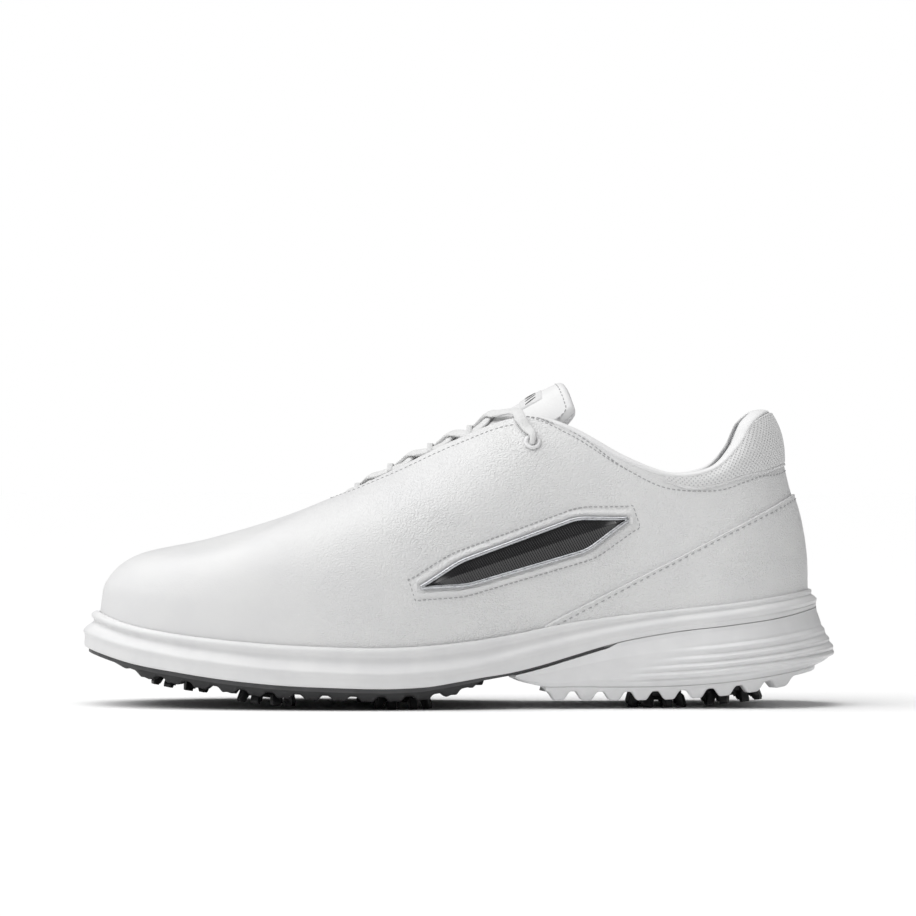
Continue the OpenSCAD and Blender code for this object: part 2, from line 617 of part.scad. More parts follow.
// Angle and station of the surface point seen at x, z from the outer side
function locate(x, z, a = 105, v = 0.4, n = 9) =
    n == 0 ? [a, v]
    : let (p = spot(a, v)) locate(x, z, a + (x - p[0]) / 2.5, v + (z - p[2]) / 78, n - 1);
emblem_tail = [-15, 48.5];
emblem_head = [68, 75.5];
emblem_half = [[0, 0.8], [0.2, 5.6], [0.78, 7.4], [1, 0.9]];
module emblem_slab(inset, outer, inner) {
    axis = unit(emblem_head - emblem_tail);
    across = [-axis[1], axis[0]];
    from = emblem_tail + axis * inset * 2.2;
    run = norm(emblem_head - emblem_tail) - inset * 4.4;
    grid = function (d) [for (j = [-1:0.5:1]) [for (i = [0:20])
        let (
            t = i / 20,
            half = max(0.5, lookup(t, emblem_half) - inset),
            p = from + axis * run * t + across * half * j,
            at = locate(p[0], p[1])
        )
        skin(at[0], at[1], d(t, j))]];
    slab(grid(outer), grid(inner));
}
module emblem_bezel() {
    color([0.7, 0.71, 0.73]) emblem_slab(0, function (t, j) 1.1, function (t, j) 0.1);
}
module emblem_inlay() {
    color([0.07, 0.07, 0.08])
        emblem_slab(1.5, function (t, j) 1.9 + 0.7 * (1 - abs(j)), function (t, j) 1.2);
}

// ---- Tongue ----

// Middle line of the tongue: x, z, half width
tongue_line = [
    [-58, 74.6, 11], [-50, 79.2, 13], [-45, 82.6, 14.5], [-34, 90, 16], [-18, 99, 17.5],
    [-2, 107.1, 18.5], [13.5, 115.2, 18], [28, 123.7, 17.8], [36, 128, 18.6], [41, 130.3, 18.8],
    [44, 131.4, 18.4]
];
function tongue_arch(x) = 0.026 + 0.017 * ease(-15, 30, x) + 0.006 * ease(33, 44, x);
function tongue_slope(x) = atan(smooth(tongue_line, x + 0.5) - smooth(tongue_line, x - 0.5));
// Point at x along and y across the tongue, at a depth d under its outer face
function tongue_at(x, y, d = 0) =
    let (s = tongue_slope(x), z = smooth(tongue_line, x) - tongue_arch(x) * y ^ 2)
    [x + d * sin(s), throat_shift(x) + y, z - d * cos(s)];
module tongue_slab(x0, x1, nx, ny, trim, top, bottom) {
    grid = function (d) [for (j = [0:ny]) [for (i = [0:nx])
        let (x = x0 + (x1 - x0) * i / nx, w = smooth(tongue_line, x, 2) - trim)
        tongue_at(x, w * (2 * j / ny - 1), d)]];
    slab(grid(top), grid(bottom));
}
module tongue_shell() {
    color([0.93, 0.93, 0.92]) tongue_slab(-56, 44, 20, 8, 0, 0, 1);
}
module tongue_foam() {
    color([0.55, 0.6, 0.66]) tongue_slab(-46, 44, 18, 8, 0, 1.2, 4);
}
module tongue_lining() {
    color([0.75, 0.75, 0.76]) tongue_slab(-46, 44, 18, 8, 0, 4.2, 4.9);
}
module tongue_label() {
    color([0.9, 0.9, 0.9]) {
        grid = function (d) [for (j = [0:4]) [for (i = [0:4])
            tongue_at(25 + 9 * i / 4, -9 + 18 * j / 4, d)]];
        slab(grid(-0.7), grid(-0.1));
    }
}

// ---- Lace ----

lace_rows = [-39, -26, -10, 6];
crossings = [-34, -18, -2, 13.5];
// Distance from the edge of the opening to a lace's turning point
turn_inset = 5.8;
function edge_half(x) = lookup(x, [for (r = top_edge) if (r[0] >= 50 && r[0] <= 110) [r[1], r[2]]]);
// Height of a turning point over the tongue
turn_rise = 2.25;
// Turning point of the lace at row k on side t
function turn(k, t) =
    let (x = lace_rows[k], y = edge_half(x) - turn_inset) tongue_at(x, t * y, -turn_rise);
function tongue_up(x, y) = let (s = tongue_slope(x)) unit([-tan(s), 2 * tongue_arch(x) * y, 1]);
function on_tongue(p, w = 1) = [p, tongue_up(p[0], p[1] - throat_shift(p[0])), w, w];
// One strand from row k across the middle, over or under the other strand
function lace_leg(k, s) =
    let (t = k % 2 == 0 ? s : -s, over = (k % 2 == 0) == (s > 0), x = crossings[k])
    [
        on_tongue(turn(k, t)), on_tongue(tongue_at(x - 3.2, t * 6.4, over ? -2.8 : -1.35)),
        on_tongue(tongue_at(x - 0.8, t * 2.2, over ? -2.95 : -1.25)),
        on_tongue(tongue_at(x + 0.8, -t * 2.2, over ? -2.95 : -1.25)),
        on_tongue(tongue_at(x + 3.2, -t * 6.4, over ? -2.8 : -1.35))
    ];
function lace_end(s) =
    let (
        a = function (f) s < 0 ? f : 360 - f,
        e = spot(a(eyelet_angle), eyelet_v),
        n = skin_out(a(eyelet_angle), eyelet_v),
        u = unit(spot(a(eyelet_angle), 0.95) - e),
        over = spot(a(100), 1),
        low = function (f, v) skin(a(f), v, -leather_t - 3.4)
    )
    [
        [over + [-1, -s * 3, 2.1], unit([-0.4, s * 0.35, 1]), 1, 1],
        [skin(a(100.6), 0.97, 1.75), skin_out(a(100.6), 0.97), 1, 1],
        [skin(a(101.8), 0.915, 1.25), skin_out(a(101.8), 0.915), 0.9, 1.05],
        [e + u * 2.6 + n * 2.2, n, 0.66, 1.4],
        [e + n * 1, unit(n - u), 0.52, 1.6],
        [e - n * 1.4, -u, 0.54, 1.6],
        [e - n * 4 - u * 1.2, unit(n - u), 0.6, 1.6],
        [low(102, 0.76), skin_out(a(102), 0.76), 0.9, 1],
        [low(100, 0.68), skin_out(a(100), 0.68), 1, 1],
        [low(97, 0.61), skin_out(a(97), 0.61), 0.8, 1.3],
        [low(95.4, 0.58), skin_out(a(95.4), 0.58), 0.5, 1.5]
    ];
function backwards(l) = [for (i = [len(l) - 1:-1:0]) l[i]];
function strand(s) = [for (k = [0:3]) each lace_leg(k, s)];
bar_across = [for (y = [-5, 0, 5]) on_tongue(tongue_at(-42.6, y, -2.8))];
lace_route = concat(
    backwards(lace_end(-1)), backwards(strand(-1)), bar_across, strand(1), lace_end(1)
);
// Point i of the route, rounded at share t of the way to the next
function eased(l, i, t, k) =
    let (n = len(l) - 1, p0 = l[max(0, i - 1)][k], p1 = l[i][k], p2 = l[min(n, i + 1)][k],
        p3 = l[min(n, i + 2)][k])
    0.5 * (2 * p1 + (p2 - p0) * t + (2 * p0 - 5 * p1 + 4 * p2 - p3) * t ^ 2
        + (3 * p1 - p0 - 3 * p2 + p3) * t ^ 3);
module lace() {
    n = len(lace_route) - 1;
    steps = [for (i = [0:n - 1], t = [0, 0.5]) [i, t]];
    path = concat([for (q = steps) [for (k = [0:3]) eased(lace_route, q[0], q[1], k)]], [lace_route[n]]);
    color([0.95, 0.95, 0.94]) bar([for (i = [0:len(path) - 1])
        let (
            ahead = unit(path[min(len(path) - 1, i + 1)][0] - path[max(0, i - 1)][0]),
            raw = path[i][1],
            up = unit(raw - (raw * ahead) * ahead),
            wide = cross(ahead, up)
        )
        [for (k = [0:7]) path[i][0] + wide * lace_w / 2 * path[i][2] * cos(45 * k)
            - up * lace_t / 2 * path[i][3] * sin(45 * k)]]);
}
module aglets() {
    color([0.9, 0.9, 0.9]) for (s = [-1, 1]) {
        l = lace_end(s);
        p = l[len(l) - 1][0];
        d = unit(p - l[len(l) - 2][0]);
        translate(p + d * 0.1) rotate([0, acos(d[2]), atan2(d[1], d[0])])
            cylinder(r = 1.3, h = 14, $fn = 24);
    }
}
module lace_loops() {
    color([0.85, 0.85, 0.85]) for (k = [0:3], t = [-1, 1]) {
        p = turn(k, t);
        y = edge_half(lace_rows[k]);
        s = tongue_slope(p[0]);
        lean = -t * atan(2 * tongue_arch(p[0]) * (y - turn_inset));
        translate(p) rotate([0, -s, 0]) rotate([lean, 0, 0]) rotate([90, 0, 90]) translate([0, 0, -1.1])
            linear_extrude(height = 2.2) difference() {
                polygon([[t * -5.2, -1.8], [t * 2.9, -1.8], [t * 2.9, 1.7], [t * -5.2, 1.7]]);
                polygon([[t * -4.9, -1.5], [t * 2.6, -1.5], [t * 2.6, 1.4], [t * -4.9, 1.4]]);
            }
    }
}

midsole();
heel_wedge();
heel_outsole();
outsole_plate();
forefoot_lugs();
shank_plate();
strobel_board();
sockliner_foam();
sockliner_cloth();
vamp_and_lateral_quarter();
medial_quarter();
heel_foxing();
collar_mesh();
collar_foam();
collar_roll();
lining();
heel_counter();
toe_puff();
eyestay_lateral();
eyestay_medial();
eyelet_rings();
lace_loops();
emblem_bezel();
emblem_inlay();
tongue_shell();
tongue_foam();
tongue_lining();
tongue_label();
lace();
aglets();
socket("toe");  // socket_toe
socket("front_lateral");  // socket_front_lateral
socket("front_medial");  // socket_front_medial
socket("ball_lateral");  // socket_ball_lateral
socket("ball_medial");  // socket_ball_medial
socket("heel_lateral");  // socket_heel_lateral
socket("heel_medial");  // socket_heel_medial
socket("rear_lateral");  // socket_rear_lateral
socket("rear_medial");  // socket_rear_medial
cleat("toe");  // cleat_toe
cleat("front_lateral");  // cleat_front_lateral
cleat("front_medial");  // cleat_front_medial
cleat("ball_lateral");  // cleat_ball_lateral
cleat("ball_medial");  // cleat_ball_medial
cleat("heel_lateral");  // cleat_heel_lateral
cleat("heel_medial");  // cleat_heel_medial
cleat("rear_lateral");  // cleat_rear_lateral
cleat("rear_medial");  // cleat_rear_medial
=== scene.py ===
"""The looks of a left golf shoe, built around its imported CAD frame.

Shapes are worked out in millimetres, in the frame's axes, and become metres when a mesh is made. X runs from
toe to heel, -Y is the outer side and Z is up. The upper is one surface: an angle runs round the shoe from 0
at the toe, along the outer side, through 180 at the heel, and a station v runs from 0 at the sole's rim to 1
at the opening. Every layer is an offset of that surface.
"""
import math

import bmesh
import bpy
import numpy as np
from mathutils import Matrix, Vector


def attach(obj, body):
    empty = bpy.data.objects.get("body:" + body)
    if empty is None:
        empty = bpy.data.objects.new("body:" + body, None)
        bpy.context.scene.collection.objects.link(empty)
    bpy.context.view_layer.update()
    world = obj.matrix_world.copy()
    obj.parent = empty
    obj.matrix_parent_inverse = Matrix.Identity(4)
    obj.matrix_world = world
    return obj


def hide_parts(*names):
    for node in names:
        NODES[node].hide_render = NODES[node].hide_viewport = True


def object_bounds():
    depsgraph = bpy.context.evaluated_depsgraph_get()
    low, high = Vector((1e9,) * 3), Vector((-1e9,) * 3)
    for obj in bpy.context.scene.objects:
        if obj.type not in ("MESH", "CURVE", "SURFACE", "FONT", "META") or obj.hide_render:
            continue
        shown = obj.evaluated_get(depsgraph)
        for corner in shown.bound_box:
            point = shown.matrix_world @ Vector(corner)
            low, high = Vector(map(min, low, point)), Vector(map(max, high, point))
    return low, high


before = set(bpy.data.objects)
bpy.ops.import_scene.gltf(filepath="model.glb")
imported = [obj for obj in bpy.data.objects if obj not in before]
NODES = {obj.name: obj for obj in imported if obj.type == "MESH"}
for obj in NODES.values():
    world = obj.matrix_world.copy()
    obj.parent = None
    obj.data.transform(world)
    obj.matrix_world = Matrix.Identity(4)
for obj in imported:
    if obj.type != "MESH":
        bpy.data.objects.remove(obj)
cad_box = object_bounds()
MM = 0.001


def placed(name, data):
    """A new object in the scene."""
    made = bpy.data.objects.new(name, data)
    bpy.context.scene.collection.objects.link(made)
    return made


# ---- Camera and light ----

box_low, box_high = cad_box
middle = (box_low + box_high) / 2
CAMERA_DISTANCE = 2.0
SHOE_SHARE = 0.8185  # share of the picture's width that the shoe takes
CAMERA_HEIGHT = 0.0999  # above the floor; the camera looks level
camera = placed("camera", bpy.data.cameras.new("camera"))
bpy.context.scene.camera = camera
camera.location = (middle.x, middle.y - CAMERA_DISTANCE, box_low.z + CAMERA_HEIGHT)
camera.rotation_euler = (math.radians(90), 0, 0)
camera.data.sensor_width = 36
camera.data.lens = camera.data.sensor_width * CAMERA_DISTANCE * SHOE_SHARE / (box_high.x - box_low.x)
camera.data.clip_start, camera.data.clip_end = 0.1, 60
bpy.context.scene.view_settings.view_transform = "Standard"

front_lamp = bpy.data.lights.new("front", "AREA")
front_lamp.shape, front_lamp.size, front_lamp.size_y = "RECTANGLE", 1.2, 0.8
front_lamp.energy = 1.6
front = placed("front", front_lamp)
front.location = (-1.3, -1.3, 1.0)
front.rotation_mode = "QUATERNION"
front.rotation_quaternion = (Vector((0, 0, 0.05)) - front.location).to_track_quat("-Z", "Y")

sky = bpy.data.lights.new("overhead", "SUN")
sky.energy, sky.angle = 2.95, math.radians(70)
placed("overhead", sky).rotation_euler = (math.radians(7), math.radians(-22), 0)


def world_light(strength):
    """A dim light from all round, and a white backdrop."""
    world = bpy.data.worlds.new("studio")
    bpy.context.scene.world = world
    world.use_nodes = True
    nodes, links = world.node_tree.nodes, world.node_tree.links
    path, backdrop = nodes.new("ShaderNodeLightPath"), nodes.new("ShaderNodeBackground")
    mix, light = nodes.new("ShaderNodeMixShader"), nodes["Background"]
    for background, power in ((light, strength), (backdrop, 1)):
        background.inputs["Color"].default_value = (1, 1, 1, 1)
        background.inputs["Strength"].default_value = power
    for k, output in enumerate((path.outputs["Is Camera Ray"], light.outputs[0], backdrop.outputs[0])):
        links.new(output, mix.inputs[k])
    links.new(mix.outputs[0], nodes["World Output"].inputs["Surface"])


world_light(0.2)

# ---- Materials ----


def grey(value, blue=0.0):
    return (value, value, value + blue)


def sockets_of(material):
    return material.node_tree.nodes["Principled BSDF"].inputs


def shader(name, colour, roughness, **values):
    """A material whose Principled sockets hold the numbers that are the same all over."""
    material = bpy.data.materials.new(name)
    material.use_nodes = True
    for socket, value in {"Base Color": (*colour, 1), "Roughness": roughness, **values}.items():
        sockets_of(material)[socket.replace("_", " ")].default_value = value
    return material


def node(material, kind, **values):
    made = material.node_tree.nodes.new("ShaderNode" + kind)
    for key, value in values.items():
        if hasattr(made, key):
            setattr(made, key, value)
        else:
            made.inputs[key.replace("_", " ")].default_value = value
    return made


def link(material, start, end):
    material.node_tree.links.new(start, end)


def place_of(material, stretch=(1, 1, 1), turn=(0, 0, 0)):
    """Object coordinates in millimetres, stretched and turned."""
    mapping = node(material, "Mapping", Scale=[s / MM for s in stretch], Rotation=turn)
    link(material, node(material, "TexCoord").outputs["Object"], mapping.inputs["Vector"])
    return mapping.outputs[0]


def pattern(material, kind, output, place=None, **values):
    """A texture laid out over the object's millimetres, or over another place."""
    made = node(material, "Tex" + kind, **values)
    link(material, place or place_of(material), made.inputs["Vector"])
    return made.outputs[output]


def noise(material, scale, detail, place=None, roughness=0.55):
    return pattern(material, "Noise", "Fac", place, Scale=scale, Detail=detail, Roughness=roughness)


def cells(material, scale, feature="F1", place=None, randomness=1.0):
    return pattern(material, "Voronoi", "Distance", place, feature=feature, Scale=scale,
                   Randomness=randomness)


def scaled(material, value, low, high, start=0.0, end=1.0):
    made = node(material, "MapRange", From_Min=start, From_Max=end, To_Min=low, To_Max=high)
    link(material, value, made.inputs["Value"])
    return made.outputs["Result"]


def times(material, one, other, operation="MULTIPLY"):
    made = node(material, "Math", operation=operation)
    for socket, value in zip(made.inputs, (one, other)):
        link(material, value, socket)
    return made.outputs[0]


def tint(material, value, dark, light, start=0.35, end=0.65):
    """Base colour that varies from dark to light with value."""
    ramp = node(material, "ValToRGB")
    for stop, position, colour in zip(ramp.color_ramp.elements, (start, end), (dark, light)):
        stop.position, stop.color = position, (*colour, 1)
    link(material, value, ramp.inputs["Fac"])
    link(material, ramp.outputs["Color"], sockets_of(material)["Base Color"])


def gloss(material, value, smooth_end, rough_end):
    roughness = scaled(material, value, smooth_end, rough_end, 0.3, 0.7)
    link(material, roughness, sockets_of(material)["Roughness"])


def bumps(material, *heights):
    """Bump maps in a chain: each is (value, depth in millimetres)."""
    before = None
    for value, depth in heights:
        bump = node(material, "Bump", Strength=1.0, Distance=depth * MM)
        link(material, value, bump.inputs["Height"])
        if before:
            link(material, before, bump.inputs["Normal"])
        before = bump.outputs["Normal"]
    link(material, before, sockets_of(material)["Normal"])


def leather(name, light, dark, depth):
    """White coated leather with a fine pebble grain, faint at the toe and stronger behind the forefoot."""
    made = shader(name, grey(light), 0.5, Coat_Weight=0.08, Coat_Roughness=0.35, Specular_IOR_Level=0.42)
    pebble = cells(made, 1.5, "SMOOTH_F1", place_of(made, (0.9, 1, 1.15)))
    parts = node(made, "SeparateXYZ")
    link(made, place_of(made), parts.inputs[0])
    rearwards = scaled(made, parts.outputs["X"], 0.12, 1.0, -80, -15)
    patches = times(made, scaled(made, noise(made, 0.03, 2), 0.65, 1.0, 0.38, 0.62), rearwards)
    grain = times(made, scaled(made, pebble, 0.0, 1.0, 0.1, 0.6), patches)
    tint(made, noise(made, 0.05, 4), grey(dark, dark * 0.005), grey(light, light * -0.002))
    gloss(made, noise(made, 0.4, 3), 0.42, 0.58)
    bumps(made, (grain, depth), (noise(made, 3.5, 3), 0.02))
    return made


def moulded(name, dark, light, rough=(0.35, 0.5), depth=0.02, **values):
    """Moulded plastic or rubber: fine texture from the tool, slight cloudiness, scuffs on raised places."""
    made = shader(name, light, rough[0], **values)
    scuffs = noise(made, 0.6, 6, place_of(made, (0.25, 1, 1)), 0.7)
    tint(made, times(made, noise(made, 0.08, 3), scaled(made, scuffs, 0.8, 1.2)), dark, light)
    gloss(made, scuffs, *rough)
    bumps(made, (noise(made, 5, 2), depth), (scuffs, depth * 0.8))
    return made


def woven(name, dark, light, pitch, depth):
    """Plain weave of two thread directions, with a soft sheen."""
    made = shader(name, light, 0.9, Sheen_Weight=0.35, Sheen_Roughness=0.5, Specular_IOR_Level=0.25)
    warp, weft = (pattern(made, "Wave", "Fac", place_of(made, turn=(0, 0.2, 0)), bands_direction=direction,
                          Scale=0.314 / pitch, Distortion=0.6, Detail_Scale=2) for direction in ("X", "Z"))
    weave = times(made, warp, weft, "MAXIMUM")
    tint(made, times(made, weave, scaled(made, noise(made, 0.2, 4), 0.7, 1.2)), dark, light, 0.2, 0.8)
    bumps(made, (weave, depth), (noise(made, 4, 2), 0.04))
    return made


def perforated(name, pitch):
    """Padded textile with rows of small holes; the map's units are millimetres."""
    made = shader(name, grey(0.78), 0.85, Sheen_Weight=0.25, Sheen_Roughness=0.5, Specular_IOR_Level=0.25)
    mapping = node(made, "Mapping", Rotation=(0, 0, math.radians(45)), Scale=(1 / pitch,) * 3)
    link(made, node(made, "TexCoord").outputs["UV"], mapping.inputs["Vector"])
    holes = scaled(made, cells(made, 1.0, "F1", mapping.outputs[0], 0.0), 0.0, 1.0, 0.16, 0.3)
    cloudy = times(made, holes, scaled(made, noise(made, 0.3, 4), 0.9, 1.1))
    tint(made, cloudy, grey(0.6, 0.005), grey(0.78), 0.0, 0.9)
    bumps(made, (holes, 0.2), (noise(made, 4, 2), 0.03))
    return made


def thread(name, dark, light):
    """Twisted thread or braid: fine slanted strands."""
    made = shader(name, light, 0.75, Sheen_Weight=0.3, Sheen_Roughness=0.4)
    strands = pattern(made, "Wave", "Fac", bands_direction="DIAGONAL", Scale=1.6, Distortion=1.5)
    tint(made, times(made, strands, noise(made, 0.8, 3)), dark, light, 0.1, 0.5)
    bumps(made, (strands, 0.05), (noise(made, 6, 2), 0.03))
    return made


def foam(name, dark, light):
    """Open-cell foam with small pores."""
    made = shader(name, light, 0.95, Subsurface_Weight=0.1, Subsurface_Scale=0.002)
    pores = cells(made, 1.4)
    tint(made, pores, dark, light, 0.15, 0.55)
    bumps(made, (pores, 0.25), (noise(made, 3, 3), 0.1))
    return made


def board(name, dark, light):
    """Needled fibre board: short fibres lying in all directions."""
    made = shader(name, light, 0.92)
    fibres = noise(made, 1.2, 8, place_of(made, (0.3, 1.6, 1), (0, 0, 0.6)), 0.75)
    tint(made, fibres, dark, light)
    bumps(made, (fibres, 0.2), (noise(made, 0.3, 2), 0.1))
    return made


def metal_film(name):
    """Silver film over plastic, with fine brushed lines."""
    made = shader(name, (0.55, 0.56, 0.58), 0.28, Metallic=0.75, Coat_Weight=0.4, Coat_Roughness=0.15)
    lines = noise(made, 1.0, 5, place_of(made, (0.15, 3, 3)))
    tint(made, lines, (0.42, 0.43, 0.45), (0.66, 0.67, 0.69))
    gloss(made, lines, 0.2, 0.42)
    bumps(made, (lines, 0.005))
    return made


def composite(name):
    """Woven glass-fibre plate under resin."""
    made = shader(name, grey(0.05, 0.005), 0.3, Coat_Weight=0.5, Coat_Roughness=0.1)
    checks = pattern(made, "Checker", "Fac", Scale=0.5)
    tint(made, checks, grey(0.03, 0.002), grey(0.08, 0.005), 0.3, 0.7)
    bumps(made, (checks, 0.05), (noise(made, 2, 3), 0.03))
    return made


WHITE_LEATHER = leather("white_leather", 0.77, 0.745, 0.25)
FOXING_LEATHER = leather("foxing_leather", 0.76, 0.735, 0.26)
TONGUE_LEATHER = leather("tongue_leather", 0.8, 0.77, 0.05)
WHITE_MIDSOLE = moulded("white_midsole", grey(0.73, 0.005), grey(0.77), (0.45, 0.6), 0.01)
WHITE_TPU = moulded("white_tpu", grey(0.73, 0.005), grey(0.77, 0.005), (0.32, 0.45), 0.01, Coat_Weight=0.15)
GREY_TPU = moulded("grey_tpu", grey(0.05, 0.002), grey(0.075, 0.002))
BLACK_TPU = moulded("black_tpu", grey(0.006, 0.001), grey(0.016, 0.001), (0.3, 0.45))
BLACK_GLOSS = moulded("black_gloss", grey(0.005, 0.001), grey(0.012, 0.001), (0.12, 0.22), 0.008,
                      Coat_Weight=0.6, Coat_Roughness=0.08)
SILVER_RIM = metal_film("silver_rim")
SOCKET_NYLON = moulded("socket_nylon", grey(0.08, 0.005), grey(0.13, 0.005), (0.4, 0.55))
SHANK = composite("shank_composite")
BOARD = board("board_felt", (0.5, 0.48, 0.42), (0.72, 0.7, 0.64))
STIFFENER = board("stiffener_board", grey(0.1, 0.01), grey(0.2, 0.01))
INSOLE_FOAM = foam("insole_foam", (0.4, 0.42, 0.46), (0.6, 0.62, 0.65))
PADDING_FOAM = foam("padding_foam", (0.35, 0.42, 0.5), (0.55, 0.62, 0.7))
INSOLE_CLOTH = woven("insole_cloth", (0.4, 0.41, 0.43), (0.5, 0.51, 0.53), 1.0, 0.1)
COLLAR_MESH = perforated("collar_mesh", 1.25)
BINDING = woven("collar_binding", grey(0.78, 0.005), grey(0.86), 0.35, 0.03)
LINING = woven("lining_textile", grey(0.7, 0.005), grey(0.8, 0.005), 1.0, 0.08)
WEBBING = woven("loop_webbing", grey(0.66), grey(0.78), 0.6, 0.12)
LACE = thread("lace_cord", grey(0.77), grey(0.88, -0.005))
# Stitch thread in mid grey: painted shade of the stitch holes and of the gaps between stitches
SHADED_STITCH = thread("stitch_thread_painted_shade", grey(0.34, 0.01), grey(0.54))
LABEL = woven("label", grey(0.66, 0.005), grey(0.77), 0.35, 0.03)

# Materials of the CAD frame's parts, by the parts' names
NODE_MATERIALS = {name: material for material, names in (
    (WHITE_LEATHER, "vamp_and_lateral_quarter medial_quarter"), (FOXING_LEATHER, "heel_foxing"),
    (TONGUE_LEATHER, "tongue_shell"), (LABEL, "tongue_label"), (LACE, "lace"), (WHITE_MIDSOLE, "midsole"),
    (WHITE_TPU, "heel_wedge heel_outsole eyelet_rings aglets"), (GREY_TPU, "outsole_plate"),
    (BLACK_TPU, "forefoot_lugs"), (SILVER_RIM, "emblem_bezel"), (BLACK_GLOSS, "emblem_inlay"),
    (SHANK, "shank_plate"), (BOARD, "strobel_board"), (STIFFENER, "heel_counter toe_puff"),
    (INSOLE_FOAM, "sockliner_foam"), (INSOLE_CLOTH, "sockliner_cloth"), (COLLAR_MESH, "collar_mesh"),
    (PADDING_FOAM, "collar_foam tongue_foam"), (BINDING, "collar_roll"), (LINING, "lining tongue_lining"),
    (WEBBING, "eyestay_lateral eyestay_medial lace_loops"),
) for name in names.split()}
FAMILIES = {"socket": SOCKET_NYLON, "cleat": BLACK_TPU}

for name, part in NODES.items():
    part.data.materials.clear()
    part.data.materials.append(FAMILIES.get(name.split("_")[0]) or NODE_MATERIALS[name])

# ---- Smooth curves through a few rows ----


def hermite(low, high, slope_low, slope_high, t):
    return ((2 * t**3 - 3 * t**2 + 1) * low + (t**3 - 2 * t**2 + t) * slope_low
            + (3 * t**2 - 2 * t**3) * high + (t**3 - t**2) * slope_high)


def smooth(table, x, column=1, flat=False):
    """A column of the table at x, on a cubic through its rows; flat makes it level at both ends."""
    rows = np.asarray(table, float)
    keys, values = rows[:, 0], rows[:, column]
    gap = np.diff(keys)
    slope = np.diff(values) / gap
    lean = np.zeros(len(keys))
    lean[1:-1] = (slope[:-1] * gap[1:] + slope[1:] * gap[:-1]) / (gap[:-1] + gap[1:])
    if not flat:
        lean[0], lean[-1] = slope[0], slope[-1]
    x = np.asarray(x, float)
    i = np.clip(np.searchsorted(keys, x) - 1, 0, len(gap) - 1)
    t = np.clip((x - keys[i]) / gap[i], 0, 1)
    return hermite(values[i], values[i + 1], lean[i] * gap[i], lean[i + 1] * gap[i], t)


def ease(low, high, x):
    t = np.clip((np.asarray(x, float) - low) / (high - low), 0, 1)
    return t * t * (3 - 2 * t)


def hump(x, centre, width):
    return np.exp(-(((x - centre) / width) ** 2))


def unit(v):
    return v / np.maximum(np.linalg.norm(v, axis=-1, keepdims=True), 1e-9)


def stack(*parts):
    return np.stack(np.broadcast_arrays(*parts), -1)


def corner_cut(points, passes, closed=False):
    """Rounds a line of points, or of levels, by cutting its corners."""
    for _ in range(passes):
        near, far = (points, np.roll(points, -1, 0)) if closed else (points[:-1], points[1:])
        cut = np.stack([0.75 * near + 0.25 * far, 0.25 * near + 0.75 * far], 1).reshape(-1, *points.shape[1:])
        points = cut if closed else np.concatenate([points[:1], cut, points[-1:]])
    return points


# ---- Plan outline of the last, as in the CAD source ----

TOE_X, HEEL_X = -145.5, 140.5
MID_X, HALF_L = (TOE_X + HEEL_X) / 2, (HEEL_X - TOE_X) / 2
TOE_ROUND_X, HEEL_ROUND_X, ROUND_POWER = -88, 100, 2.25
# x, outer half width, inner half width, shift of the centre line to the inner side
WIDTHS = [
    [-146, 40, 37, 7], [-110, 43, 41, 5], [-80, 47.3, 45.6, 2.5], [-45, 49, 45.4, 0.5], [-15, 46, 38, -0.5],
    [20, 39.5, 30.5, -0.5], [50, 35, 29.5, 0], [85, 33.5, 31.5, 0.5], [115, 33.5, 33, 0.5],
    [142, 33, 33, 0.5],
]


def mirrored(a):
    return 360 - a


def side(a):
    return np.where(np.mod(a, 360) > 180, 1.0, -1.0)


def fold(a):
    turned = np.mod(a, 360)
    return np.where(turned > 180, mirrored(turned), turned)


def outline(a):
    x = MID_X - HALF_L * np.cos(np.radians(a))
    ends = np.maximum((TOE_ROUND_X - x) / (TOE_ROUND_X - TOE_X), (x - HEEL_ROUND_X) / (HEEL_X - HEEL_ROUND_X))
    narrowing = (1 - np.clip(ends, 0, 1) ** ROUND_POWER) ** (1 / ROUND_POWER)
    width = np.where(side(a) > 0, smooth(WIDTHS, x, 2), smooth(WIDTHS, x, 1))
    return stack(x, smooth(WIDTHS, x, 3) + side(a) * width * narrowing)


def plan(a, d):
    """The outline moved outwards by d."""
    step = outline(a + 1) - outline(a - 1)
    outwards = unit(stack(step[..., 1], -step[..., 0]))
    return outline(a) + np.asarray(d)[..., None] * outwards


# ---- Height curves of the sole, as x and z ----

FLOOR_Z = [[-146, 30.5], [-125, 25], [-100, 20.5], [-70, 17.8], [-40, 17], [-10, 18.5], [20, 22], [50, 26],
           [80, 28.5], [110, 30], [142, 31]]
RIM_Z = [[-146, 37.8], [-135, 34], [-116, 30.2], [-97, 27.9], [-75, 26], [-52, 24.9], [-30, 24.5],
         [-12, 25.3], [5, 27], [20, 29.3], [40, 33.3], [64, 36.8], [86, 39.2], [109, 41.7], [128, 44.5],
         [142, 47]]
LEDGE_Z = [[-146, 31], [-137, 27.8], [-117, 22.9], [-97, 19.8], [-77, 17.3], [-52, 15.7], [-30, 15],
           [-12, 15.8], [8, 18.5], [30, 24], [60, 31], [86, 35.3], [109, 38.2], [128, 41.3], [142, 44]]
EDGE_Z = [[-146, 23.6], [-128, 18], [-109, 14.6], [-90, 11.9], [-70, 10], [-50, 9.1], [-24, 8.7], [-12, 9.4],
          [-2, 11], [9, 12.9], [20, 14.6], [31, 17.2], [45, 21.3], [62, 26.2], [86, 30.7], [109, 33.5],
          [128, 36.6], [142, 40.4]]
BASE_Z = [[-146, 24], [-128, 18.4], [-109, 15], [-90, 12.3], [-70, 10.4], [-50, 9.5], [-24, 9.1], [-12, 9.8],
          [-2, 11.2], [9, 12.9], [20, 14.2], [45, 17], [80, 19], [142, 20]]
SEAT_Z = [[x, min(smooth(EDGE_Z, x) + 0.2, smooth(FLOOR_Z, x) - 2.2)] for x in range(-146, 143, 12)]
